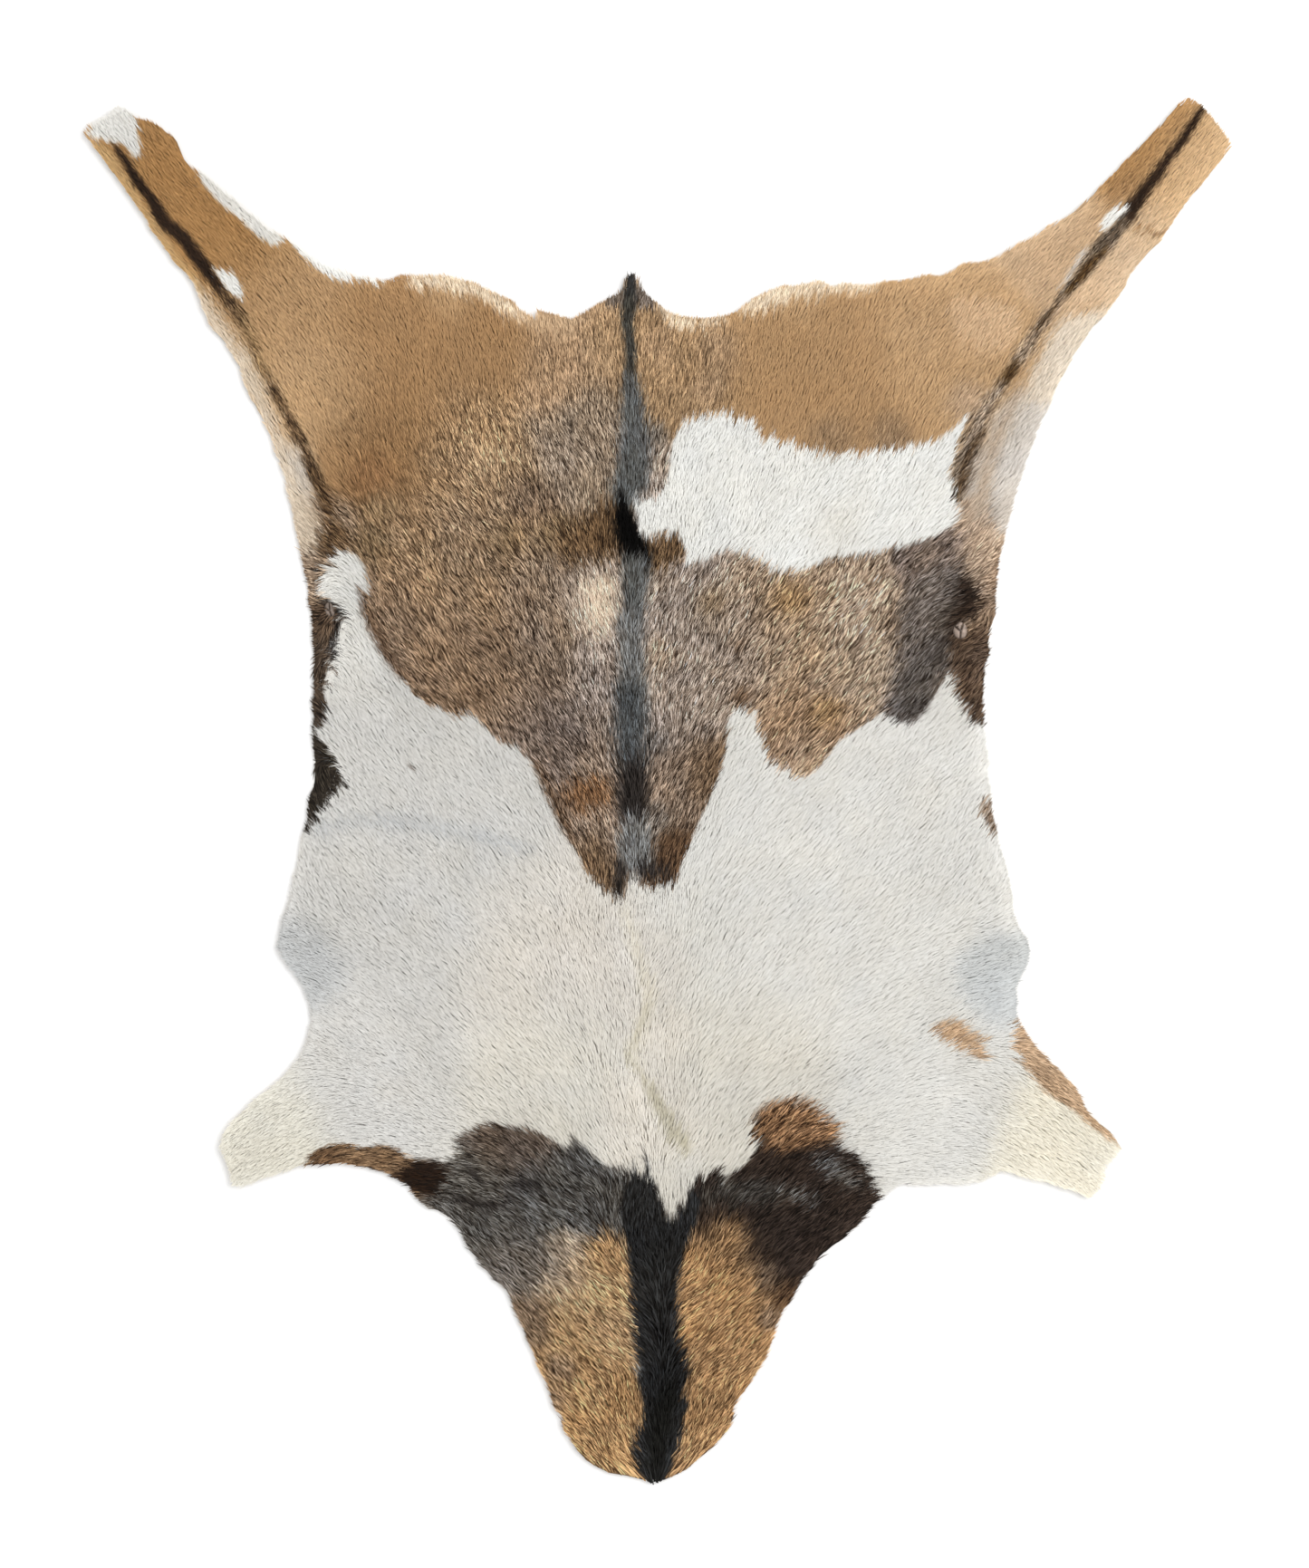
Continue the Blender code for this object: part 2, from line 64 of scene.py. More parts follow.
# The colours of the hair, in 8-bit steps of red, green and blue, and how far single hairs differ from that
HAIRS = {
    # name: (red, green, blue, contrast)
    "leg tan": (172, 130, 82, 0.20), "light tan": (221, 187, 144, 0.13), "pale tan": (208, 177, 141, 0.16),
    "haunch": (203, 168, 126, 0.15), "pale haunch": (222, 190, 152, 0.14),
    "dark haunch": (150, 110, 74, 0.40), "rump tan": (178, 140, 98, 0.12),
    "warm tan": (188, 151, 109, 0.12), "brown tan": (156, 120, 82, 0.40), "sandy": (178, 145, 108, 0.60),
    "light agouti": (180, 147, 111, 1.00), "mid agouti": (157, 129, 103, 1.05),
    "agouti": (161, 132, 102, 1.05), "dark agouti": (142, 116, 92, 1.05),
    "golden brown": (158, 125, 84, 0.95), "olive brown": (132, 108, 80, 1.00),
    "taupe": (170, 152, 137, 1.00), "grey brown": (144, 122, 101, 1.10),
    "taupe brown": (157, 135, 116, 1.10), "dark taupe": (126, 109, 97, 1.10),
    "teat grey": (116, 105, 97, 1.00), "teat low": (94, 86, 80, 1.10), "teat brown": (88, 70, 56, 1.10),
    "teat dark": (50, 38, 30, 1.00), "swirl tan": (193, 167, 141, 0.60), "flank black": (52, 45, 37, 0.90),
    "dark brown": (94, 70, 50, 1.00), "brown": (119, 93, 68, 1.00), "red brown": (126, 92, 64, 1.05),
    "wedge brown": (112, 86, 60, 1.15), "shoulder brown": (107, 91, 78, 1.00),
    "shoulder slate": (91, 86, 80, 1.20), "slate brown": (128, 117, 107, 1.10),
    "brown black": (54, 43, 36, 1.15), "dark end": (34, 21, 12, 0.80), "clump black": (48, 43, 40, 0.90),
    "neck tan": (196, 160, 119, 0.90), "neck tan right": (184, 143, 100, 0.90),
    "neck brown": (132, 110, 90, 0.95), "beige": (215, 207, 197, 0.14), "cream": (228, 214, 194, 0.12),
    "rim cream": (236, 216, 188, 0.22), "spot cream": (238, 214, 188, 0.40), "white": (214, 212, 207, 0.04),
    "clear white": (227, 225, 219, 0.04), "bright white": (239, 238, 233, 0.04),
    "warm white": (226, 221, 212, 0.04), "clear warm white": (227, 223, 213, 0.04),
    # warm crease shade: painted shade of the soft crease over the withers
    "warm crease shade": (227, 220, 203, 0.04), "cool shaded white": (193, 194, 193, 0.05),
    # cool shaded whites: painted shade of shallow dips near the flanks' edges, over hair that is thinner
    # there
    "clear cool shaded white": (204, 206, 205, 0.05), "cream white": (222, 218, 205, 0.08),
    "clear cream white": (240, 234, 217, 0.07), "mane black": (46, 45, 44, 0.95),
    "back black": (52, 46, 42, 0.70), "back grey": (72, 69, 62, 0.60), "stripe black": (48, 33, 22, 0.45),
    "blot black": (2, 1, 0, 0.80), "leg dark": (104, 80, 56, 1.00), "stripe grey": (167, 146, 124, 0.90),
    "slate": (113, 113, 112, 0.65), "light slate": (137, 135, 131, 0.65), "spot tan": (195, 164, 132, 0.40),
    "spot brown": (143, 107, 76, 1.20), "neck tan low": (189, 149, 105, 0.88),
    "pale neck": (190, 168, 143, 0.80), "mane end": (28, 27, 24, 0.80),
    "faint stripe": (155, 125, 88, 0.60), "fleck grey": (146, 146, 144, 0.40),
    "agouti right": (169, 143, 117, 1.05), "taupe right": (144, 122, 103, 1.10),
    "low beige": (206, 196, 184, 0.16), "haunch edge": (200, 180, 158, 0.20),
    "stripe spot": (88, 64, 38, 0.90), "stripe end": (112, 95, 78, 1.00), "tail fuzz": (118, 104, 92, 0.80),
    "loin slate": (86, 87, 86, 0.75), "teat core": (84, 75, 68, 1.00), "strip tan": (193, 157, 108, 0.14),
    "left haunch": (192, 156, 114, 0.16), "outer tan": (222, 194, 160, 0.12),
    "haunch beige": (221, 204, 181, 0.12), "low haunch beige": (196, 178, 156, 0.35),
    "pale sandy": (186, 154, 121, 0.55), "slate middle": (98, 98, 95, 0.65),
    "warm taupe": (155, 135, 115, 1.00), "pale taupe": (195, 170, 146, 1.00),
    "fold shade": (205, 198, 177, 0.04), "strip brown": (70, 57, 46, 1.10),
    # shoulder painted sheen: painted highlights, the gloss on the dark shoulder hair
    "shoulder dusk": (71, 65, 58, 1.20), "shoulder painted sheen": (110, 106, 101, 1.30),
    "light taupe": (176, 154, 131, 1.00), "shade agouti": (134, 110, 88, 1.10),
    "light haunch": (205, 176, 145, 0.25), "dull tan": (157, 129, 99, 0.40),
    "border brown": (104, 81, 62, 1.00), "spine white": (235, 229, 218, 0.04),
    "clear grey white": (222, 220, 214, 0.04),
}
# Which share of the locks is darker and lighter than the main colour, and by how much at a contrast of 1
DARK_SHARE = 0.30
LIGHT_SHARE = 0.28
DARK_STEP = (0.42, 0.45, 0.48)
LIGHT_STEP = (0.35, 0.39, 0.43)
# What changes with a kind of hair's contrast: the value for smooth hair, and what is added at a contrast of 1
ROOT_SHADE = (0.02, 0.44)
LIGHT_CLOUDING = (0.016, 0.07)
BROWN_CLOUDING = (0.006, 0.035)
TONE_CHANCE = (0.006, 0.045)
# UNDERCOAT_TONE: how much of the coat's colour the undercoat keeps, darkened as painted shade of the depth
# between the locks
UNDERCOAT_TONE = (0.80, -0.45)
WIDTH_BY_KIND = (0.74, 0.26)
RISE_CHANCE = (0.01, 0.19)
ROLL_BY_KIND = (0.02, 0.98)

# The parting, where the hair's lie turns from left to right: x_mm and y_mm
PARTING = ((-17, 360), (-17, -140), (-8, -215), (2, -290), (4, -380), (2, -450), (0, -500))

# The lie of the hair on either side of the parting. The columns are
# off_mm: distance from the parting
# y_mm
# reach_mm: how far the row has its say
# heading: degrees from straight towards the tail, outwards
COMB = (
    (0, 355, 20, 0), (0, 205, 23, 3), (0, 49, 23, 0), (0, -82, 23, 0), (7, -212, 23, 0), (16, -310, 20, 0),
    (18, -447, 20, 0), (39, 114, 29, 16), (39, -17, 29, 22), (39, -134, 26, 22), (39, -238, 26, 28),
    (65, 310, 33, 8), (78, 231, 33, 22), (130, 323, 39, 18), (170, 264, 39, 20), (144, 179, 39, 34),
    (117, 101, 46, 35), (78, 49, 33, 28), (91, -17, 39, 40), (163, 36, 46, 40), (163, -56, 46, 43),
    (222, -56, 33, 34), (235, -128, 29, 70), (183, -154, 39, 53), (104, -160, 39, 42), (72, -212, 26, 42),
    (144, -212, 39, 54), (196, -219, 26, 75), (241, -235, 29, 115), (287, -255, 29, 124),
    (196, -258, 20, 90), (137, -258, 23, 90), (104, -271, 26, 62), (72, -271, 26, 45), (91, -323, 33, 45),
    (52, -375, 39, 42), (52, -447, 39, 41), (222, 323, 39, 32), (228, 244, 33, 35), (225, 179, 26, 48),
    (238, 140, 20, 70), (274, 362, 39, 38), (326, 407, 39, 43), (372, 466, 46, 38),
)

# Where the hair whirls away from that. The columns are
# x_mm, y_mm, reach_mm: as above
# heading: degrees from straight towards the tail, clockwise
WHIRLS = (
    (-231, 119, 13, 172), (-240, 90, 14, 188), (-238, 10, 16, 155), (-235, 150, 11, 245),
    (236, 118, 11, 10), (229, 98, 10, 62),
)

# Which hair grows where, apart from the strokes and patches below. The columns are
# x_mm, y_mm, reach_mm: the middle of that part and how far it has its say
# hair: a name of HAIRS
GROUND = (
    (-375, 460, 39, "leg tan"), (-323, 401, 39, "leg tan"), (-271, 355, 33, "left haunch"),
    (-245, 290, 33, "haunch"), (-179, 316, 46, "rump tan"), (-121, 329, 26, "rump tan"),
    (-150, 354, 12, "haunch"), (-199, 251, 33, "brown tan"), (-235, 236, 10, "rump tan"),
    (-206, 229, 13, "dark haunch"), (-199, 205, 9, "olive brown"), (-232, 192, 13, "grey brown"),
    (-205, 178, 10, "olive brown"), (-252, 189, 9, "low haunch beige"), (-134, 251, 29, "light agouti"),
    (-147, 166, 39, "agouti"), (-179, 114, 36, "dark agouti"), (-121, 88, 33, "dark agouti"),
    (-85, 150, 24, "grey brown"), (-93, 207, 12, "shade agouti"), (-108, 180, 11, "olive brown"),
    (-84, 112, 9, "dark taupe"), (-94, 139, 5, "dark brown"), (-55, 257, 26, "warm taupe"),
    (-70, 316, 22, "pale sandy"), (-80, 288, 14, "pale sandy"), (-40, 319, 14, "sandy"),
    (-76, 182, 10, "olive brown"), (-52, 133, 16, "taupe"), (-50, 95, 12, "taupe"), (-54, 72, 11, "taupe"),
    (-78, 104, 18, "grey brown"), (-75, 55, 30, "dark taupe"), (-42, 60, 14, "taupe"),
    (-42, 20, 12, "taupe brown"), (-49, -22, 20, "taupe brown"), (-48, -46, 12, "brown"),
    (10, 310, 29, "sandy"), (42, 318, 14, "pale sandy"), (35, 292, 8, "pale sandy"),
    (0, 322, 9, "pale sandy"), (-3, 257, 6, "slate brown"), (3, 101, 8, "pale taupe"),
    (4, 232, 11, "taupe"), (10, 146, 23, "taupe"), (42, 101, 29, "taupe"), (36, 134, 9, "olive brown"),
    (57, 105, 5, "dark brown"), (60, 70, 5, "dark brown"), (95, 136, 10, "golden brown"),
    (118, 57, 9, "golden brown"), (112, 26, 12, "agouti right"), (101, 114, 33, "agouti right"),
    (101, 49, 22, "mid agouti"), (150, 92, 18, "light taupe"), (126, 100, 9, "light taupe"),
    (10, 60, 18, "taupe"), (10, 9, 22, "taupe right"), (34, 12, 14, "brown"), (0, 35, 7, "slate brown"),
    (-1, -17, 8, "slate brown"), (16, -42, 12, "dark brown"), (127, 296, 39, "warm tan"),
    (125, 258, 12, "dull tan"), (165, 258, 10, "dull tan"), (222, 284, 10, "light haunch"),
    (75, 329, 26, "warm tan"), (98, 352, 12, "haunch"), (205, 316, 33, "haunch"),
    (228, 330, 14, "pale haunch"), (336, 453, 26, "leg tan"), (336, 436, 9, "brown tan"),
    (297, 401, 26, "pale tan"), (375, 427, 26, "light tan"), (355, 408, 17, "outer tan"),
    (334, 368, 20, "outer tan"), (250, 222, 14, "low beige"), (262, 262, 12, "beige"),
    (226, 196, 8, "swirl tan"), (230, 167, 10, "swirl tan"), (244, 158, 7, "mid agouti"),
    (172, 118, 10, "grey brown"), (140, 124, 18, "pale taupe"), (137, 146, 9, "pale taupe"),
    (180, 60, 10, "dark taupe"), (244, 128, 8, "neck brown"), (205, 166, 14, "dark taupe"),
    (228, 68, 12, "teat brown"), (-244, 122, 8, "teat brown"), (-246, 98, 10, "strip brown"),
    (-246, 68, 14, "strip brown"), (-245, 153, 10, "grey brown"), (-243, 8, 24, "flank black"),
    (300, 425, 14, "pale tan"), (-265, 231, 13, "beige"), (-212, -263, 26, "brown"),
    (-240, -262, 8, "dark brown"), (-108, -253, 17, "shoulder brown"), (-108, -304, 29, "shoulder slate"),
    # The shoulder painted sheen rows are painted highlights on the left shoulder's dark hair
    (-137, -284, 17, "shoulder slate"), (-62, -293, 16, "shoulder slate"), (-88, -302, 9, "shoulder painted sheen"),
    (-70, -303, 9, "shoulder painted sheen"), (-36, -298, 11, "shoulder slate"), (-105, -335, 16, "slate brown"),
    (-88, -343, 12, "slate brown"), (-45, -376, 28, "neck tan"), (-72, -352, 13, "pale neck"),
    (-69, -325, 9, "pale neck"), (-49, -452, 36, "neck tan low"), (-70, -415, 8, "neck brown"),
    (-93, -379, 12, "neck brown"), (-74, -437, 7, "neck brown"), (101, -304, 36, "brown black"),
    (147, -284, 26, "brown black"), (98, -336, 13, "brown black"), (46, -366, 26, "neck tan right"),
    (54, -319, 9, "neck tan right"), (80, -348, 7, "neck brown"), (42, -434, 33, "neck tan right"),
    (90, -360, 8, "dark brown"), (79, -378, 6, "neck brown"),
)

# The same for the white parts, which the strokes and patches named white show
# Most whites on the left side are darker than the clear whites on the right, partly in the hair's own tone
# and partly as painted shade, for the light that falls from the right.
WHITE_PARTS = (
    (82, 218, 59, "bright white"), (170, 216, 40, "bright white"), (127, 194, 15, "clear warm white"),
    (10, -290, 22, "clear warm white"), (-212, 120, 30, "clear white"), (-190, 60, 20, "white"),
    (-173, 9, 46, "white"), (-179, -82, 46, "white"), (-254, -128, 20, "cool shaded white"),
    (-205, -199, 39, "white"), (-290, -248, 33, "cream white"), (-82, -121, 39, "warm white"),
    (-82, -206, 39, "clear warm white"), (-13, -134, 20, "warm white"), (-3, -232, 26, "spine white"),
    (8, -175, 14, "spine white"), (62, -199, 39, "clear warm white"), (114, -82, 59, "clear white"),
    (153, 9, 46, "clear white"), (248, -134, 17, "clear cool shaded white"), (186, -212, 39, "clear grey white"),
    (303, -261, 33, "clear cream white"), (232, -56, 26, "clear white"),
)

# Marks on the coat, in the order in which they are painted. Each has a kind of hair, how soft its border is
# in millimetres, and its shape: the course of a stroke, in x_mm, y_mm and half_width_mm, or the outline of a
# patch, in x_mm and y_mm
MARKS = {
    "pale edge, left hind leg": ("strip tan", 3, (
        (-416, 475), (-400, 466), (-391, 459), (-381, 443), (-369, 424), (-353, 400), (-340, 380),
        (-328, 363), (-339, 355), (-359, 386), (-377, 414), (-411, 460),
    )),
    "cream outside of the left haunch": ("haunch beige", 8, (
        (-342, 363), (-327, 360), (-316, 345), (-306, 329), (-298, 317), (-293, 308), (-300, 302),
        (-313, 315), (-328, 337),
    )),
    "beige outside of the left haunch": ("haunch beige", 8, (
        (-298, 317), (-289, 306), (-281, 289), (-273, 264), (-265, 243), (-259, 223), (-252, 208),
        (-247, 189), (-254, 179), (-263, 195), (-269, 218), (-279, 251), (-297, 283), (-307, 303),
    )),
    "pale rim over the left rump": ("rim cream", 4, (
        (-178, 372), (-153, 373), (-133, 368), (-115, 359), (-100, 349), (-93, 340), (-108, 343),
        (-124, 353), (-144, 360), (-165, 364), (-179, 364),
    )),
    "pale flap left of the tail": ("pale tan", 7, (
        (-96, 354), (-82, 345), (-62, 344), (-61, 334), (-74, 328), (-88, 332), (-97, 342),
    )),
    "pale rim right of the tail": ("rim cream", 3, (
        (-1, 350), (6, 347), (14, 343), (23, 341), (35, 340), (49, 342), (50, 339), (37, 336), (24, 334),
        (15, 333), (7, 337),
    )),
    "pale rim over the right rump": ("rim cream", 4, (
        (62, 351), (74, 358), (82, 364), (96, 367), (118, 370), (156, 370), (156, 363), (118, 358),
        (96, 355), (83, 349), (72, 345), (62, 345),
    )),
    "dark side of the left stripe": ("leg dark", 5, (
        (-240, 195), (-225, 191), (-222, 179), (-232, 169), (-243, 175),
    )),
    "brown wedge left of the blot": ("wedge brown", 7, (
        (-59, 192), (-48, 200), (-36, 210), (-27, 218), (-22, 205), (-24, 176), (-40, 166), (-54, 163),
        (-67, 165), (-75, 175), (-70, 184),
    )),
    "red brown spot, left of the back": ("red brown", 9.0, (
        (-68, 4), (-55, 9), (-37, 7), (-34, -4), (-41, -12), (-55, -14), (-67, -9),
    )),
    "cream spot beside the back": ("spot cream", 11, (
        (-48, 158), (-37, 158), (-29, 149), (-29, 135), (-33, 118), (-41, 110), (-51, 115), (-58, 128),
        (-58, 145),
    )),
    "brown right of the blot": ("wedge brown", 5, (
        (-11, 180), (19, 183), (19, 169), (8, 161), (-6, 156), (-15, 158),
    )),
    "cream outside of the right haunch": ("cream", 6, (
        (335, 347), (316, 347), (298, 344), (288, 336), (281, 326), (276, 316), (271, 307), (266, 296),
        (262, 286), (256, 273), (251, 259), (264, 251), (282, 264), (300, 296), (320, 323),
    )),
    "beige outside of the right flank": ("beige", 7, (
        (259, 278), (252, 264), (247, 250), (243, 235), (239, 221), (251, 213), (271, 231), (287, 274),
    )),
    "tan edge of the right haunch": ("haunch edge", 6, (
        (263, 293, 1.0), (256, 280, 3.0), (249, 266, 4.0), (243, 251, 4.5), (237, 235, 5.0),
        (233, 215, 5.0), (230, 199, 5.0),
    )),
    # Painted shade: two creases of the right hind leg, darker than the tan round them
    "painted shade in the right hind leg's crease": ("brown tan", 2.5, ((341, 409, 1.0), (350, 405, 1.4), (363, 402, 1.0))),
    "painted shade, crease beneath it": ("pale tan", 4.0, ((297, 347, 1.0), (307, 349, 2.5), (318, 351, 1.5))),
    "pale band over the right haunch": ("pale haunch", 6, (
        (213, 353), (235, 356), (252, 349), (260, 341), (259, 329), (251, 319), (238, 321), (224, 326),
        (213, 337),
    )),
    "grey of the right flank": ("teat grey", 9, (
        (187, 157), (199, 163), (215, 161), (217, 150), (216, 120), (211, 91), (200, 71), (189, 51),
        (173, 49), (166, 59), (167, 77), (170, 91), (172, 110), (173, 130), (178, 146),
    )),
    "dark low part of the right flank": ("teat low", 8, (
        (192, 98), (203, 94), (199, 71), (187, 54), (174, 53), (169, 65), (173, 81), (182, 91),
    )),
    "dark hollow beside the right teat": ("teat core", 8, (
        (214, 156, 2.0), (213, 139, 5.0), (208, 123, 10.0), (204, 109, 9.0), (199, 97, 6.0),
    )),
    "dark brown below the right teat": ("teat brown", 4, (
        (212, 113), (222, 114), (238, 118), (242, 88), (238, 45), (228, 45), (219, 58), (213, 75),
        (211, 91),
    )),
    "black round the right teat": ("teat dark", 4, (
        (217, 158), (226, 153), (233, 143), (232, 131), (226, 123), (217, 122), (211, 116), (212, 108),
        (209, 114), (211, 124), (215, 135), (216, 146),
    )),
    "stripe, left hind leg": ("stripe black", 2.0, (
        (-391, 464, 1.5), (-382, 452, 2.5), (-375, 440, 3.5), (-367, 430, 3.5), (-361, 419, 4.0),
        (-352, 407, 4.5), (-342, 400, 5.0), (-335, 389, 5.0), (-328, 380, 4.5), (-322, 371, 4.0),
        (-313, 360, 3.5),
    )),
    "brown run of the left stripe": ("leg dark", 3.5, (
        (-313, 360, 3.5), (-307, 351, 4.0), (-301, 342, 3.5),
    )),
    "faint run of the left stripe": ("faint stripe", 4.0, (
        (-301, 342, 3.0), (-294, 329, 3.5), (-288, 313, 3.0), (-282, 300, 2.5),
    )),
    "dark run of the left stripe": ("leg dark", 2.5, (
        (-280, 298, 1.5), (-275, 286, 4.0), (-267, 273, 2.6), (-261, 260, 4.2), (-254, 247, 2.6),
        (-248, 231, 4.8), (-242, 218, 4.0), (-237, 205, 5.5),
    )),
    "stripe, right hind leg": ("stripe black", 2.5, (
        (392, 491, 2.4), (383, 478, 3.0), (375, 466, 3.2), (365, 453, 3.8), (357, 441, 4.2),
        (348, 430, 4.8), (341, 419, 5.0), (336, 411, 5.0),
    )),
    "brown run of the right stripe": ("stripe end", 3.0, (
        (336, 411, 4.0), (326, 400, 6.0), (316, 388, 6.0), (307, 376, 4.5), (297, 364, 3.5),
        (290, 356, 2.2),
    )),
    "dark line in the brown run": ("stripe spot", 2.0, (
        (322, 390, 1.5), (312, 381, 2.5), (305, 372, 2.5), (295, 360, 1.2),
    )),
    "broken run of the right stripe": ("stripe grey", 4.0, (
        (288, 350, 2.0), (280, 342, 3.0), (273, 332, 4.0), (267, 321, 5.0), (261, 313, 5.0),
    )),
    "thin line in it": ("leg dark", 1.5, ((288, 351, 1.0), (280, 342, 1.5), (273, 334, 1.2))),
    "dark spot of the right stripe": ("stripe spot", 2.5, (
        (260, 311, 1.5), (256, 305, 3.8), (251, 298, 3.5), (246, 291, 2.0), (241, 283, 1.0),
    )),
    "wide run of the right stripe": ("stripe grey", 5.0, (
        (247, 291, 3.5), (239, 280, 4.5), (232, 268, 6.0), (227, 256, 7.0), (223, 244, 7.0),
        (220, 231, 6.0), (217, 215, 3.0),
    )),
    "dark end of the wide run": ("stripe end", 4.0, (
        (228, 251, 2.0), (222, 240, 4.0), (219, 228, 4.5), (215, 215, 3.5),
    )),
    "dark line in the wide run": ("leg dark", 2.5, (
        (234, 260, 0.8), (228, 251, 1.4), (223, 241, 1.6), (220, 230, 1.8), (217, 218, 2.0),
        (214, 210, 1.2),
    )),
    "pale line beside the right stripe": ("beige", 2.5, (
        (307, 390, 1.5), (299, 377, 1.5), (290, 363, 1.0),
    )),
    "tail fuzz": ("tail fuzz", 3.0, (
        (-37, 355), (-27, 364), (-14, 370), (-5, 358), (-1, 350), (-12, 348), (-23, 349), (-36, 348),
    )),
    "tail tuft": ("mane black", 1.5, ((-20, 384, 1.0), (-20, 375, 2.2), (-20, 363, 3.8), (-20, 353, 4.4))),
    "back, dark grey": ("back grey", 2.5, (
        (-20, 353, 4.6), (-22, 337, 4.2), (-20, 323, 3.6), (-20, 308, 3.8), (-20, 290, 4.0),
    )),
    "back, slate": ("slate", 6.0, (
        (-20, 293, 4.5), (-18, 280, 7.5), (-17, 261, 11.0), (-17, 238, 12.0), (-18, 218, 9.0),
    )),
    "back, dark middle of the slate": ("slate middle", 5.0, (
        (-20, 289, 2.5), (-20, 264, 3.0), (-19, 246, 5.0), (-18, 231, 10.0), (-24, 217, 11.0),
    )),
    "back, black blot": ("blot black", 4.0, (
        (-25, 206, 5.0), (-24, 196, 8.2), (-20, 181, 10.0), (-14, 169, 9.5),
    )),
    "back, slate over the loin": ("slate", 5.0, ((-14, 161, 9.0), (-17, 140, 8.5), (-20, 120, 8.5))),
    "back, dark end over the loin": ("slate middle", 5.0, (
        (-19, 162, 7.5), (-19, 152, 7.0), (-18, 139, 4.0),
    )),
    "back, light slate over the loin": ("light slate", 6.0, (
        (-20, 120, 8.5), (-19, 101, 10.0), (-18, 75, 11.0), (-18, 49, 10.0),
    )),
    "back, dark left side over the loin": ("loin slate", 8.0, (
        (-21, 72, 9.0), (-21, 55, 11.0), (-20, 39, 11.5), (-19, 25, 11.0),
    )),
    "back, black over the loin": ("back black", 5.0, ((-18, 16, 9.5), (-18, 3, 12.0), (-18, -10, 11.5))),
    "back, grey over the withers": ("light slate", 5.0, (
        (-18, -28, 11.5), (-16, -39, 13.5), (-16, -49, 11.5),
    )),
    "back, left end of the stripe": ("back black", 3.5, (
        (-27, -53, 3.5), (-28, -64, 4.5), (-28, -73, 3.0),
    )),
    "back, right end of the stripe": ("back black", 4.0, ((-12, -54, 4.0), (-5, -57, 6.0), (5, -60, 4.5))),
    "white saddle": ("white", 1.2, (
        (-18, 213), (-16, 200), (-13, 188), (-8, 183), (-1, 185), (8, 185), (16, 183), (20, 175), (21, 163),
        (28, 167), (39, 169), (48, 173), (61, 173), (69, 169), (78, 163), (86, 157), (96, 157), (106, 159),
        (114, 163), (127, 168), (140, 171), (157, 173), (173, 176), (191, 180), (205, 187), (216, 195),
        (217, 206), (213, 218), (211, 231), (214, 244), (219, 259), (222, 272), (217, 266), (209, 259),
        (199, 252), (179, 250), (153, 245), (134, 244), (117, 245), (102, 248), (93, 251), (84, 255),
        (76, 256), (70, 265), (63, 269), (51, 272), (41, 273), (29, 271), (20, 268), (16, 263), (12, 256),
        (9, 244), (8, 233), (5, 221), (1, 214), (-7, 213), (-12, 208),
    )),
    "white of the belly and the withers": ("white", 1.2, (
        (-245, 153), (-239, 165), (-235, 171), (-225, 174), (-213, 166), (-209, 153), (-210, 140),
        (-209, 127), (-202, 110), (-192, 91), (-180, 78), (-176, 70), (-168, 65), (-159, 60), (-145, 56),
        (-132, 56), (-127, 49), (-119, 41), (-109, 34), (-97, 28), (-89, 19), (-83, 8), (-76, -6),
        (-70, -20), (-64, -34), (-55, -50), (-46, -62), (-37, -69), (-29, -76), (-24, -75), (-21, -64),
        (-16, -60), (-12, -65), (-6, -68), (3, -67), (10, -66), (16, -53), (20, -43), (26, -30), (34, -10),
        (43, 9), (49, 32), (52, 55), (57, 61), (66, 60), (71, 56), (75, 42), (78, 31), (82, 22), (92, 16),
        (101, 13), (109, 13), (119, 22), (127, 33), (133, 40), (140, 45), (152, 51), (163, 55), (174, 51),
        (186, 52), (196, 65), (204, 77), (209, 88), (213, 83), (217, 69), (225, 55), (235, 47), (251, 39),
        (264, -82), (284, -116), (271, -160), (290, -180), (349, -256), (326, -307), (251, -294),
        (165, -292), (155, -278), (142, -262), (129, -255), (123, -239), (113, -231), (101, -226),
        (86, -224), (75, -231), (68, -238), (70, -254), (65, -266), (53, -274), (50, -281), (48, -285),
        (45, -271), (36, -275), (28, -277), (25, -283), (18, -295), (10, -308), (3, -296), (-4, -281),
        (-12, -276), (-18, -273), (-25, -272), (-35, -270), (-44, -264), (-52, -257), (-57, -253),
        (-61, -249), (-66, -257), (-74, -251), (-84, -246), (-98, -243), (-109, -240), (-119, -238),
        (-127, -240), (-138, -245), (-145, -250), (-143, -259), (-149, -265), (-159, -267), (-168, -266),
        (-179, -264), (-186, -258), (-199, -254), (-215, -257), (-222, -253), (-237, -254), (-245, -257),
        (-251, -263), (-258, -271), (-310, -297), (-326, -253), (-313, -229), (-271, -189), (-261, -167),
        (-287, -114), (-274, -56), (-265, -33), (-252, -28), (-246, -15), (-238, -5), (-231, 0), (-228, 9),
        (-233, 20), (-238, 32), (-246, 40), (-248, 46), (-241, 51), (-240, 66), (-240, 76), (-238, 88),
        (-237, 100), (-235, 108), (-231, 116), (-229, 124), (-232, 133), (-238, 139), (-244, 141),
    )),
    "dark arc by the left teat": ("clump black", 1.5, (
        (-243, 137, 1.0), (-237, 137, 1.6), (-232, 133, 1.8), (-230, 126, 1.8), (-231, 117, 1.8),
        (-234, 109, 1.8), (-235, 98, 1.4),
    )),
    "dark fringe of the left flank": ("border brown", 4.0, (
        (-213, 143, 1.5), (-209, 130, 3.0), (-204, 117, 3.5), (-197, 104, 3.5), (-189, 91, 3.0),
        (-181, 81, 1.5),
    )),
    "dark fringe over the withers": ("border brown", 4.0, (
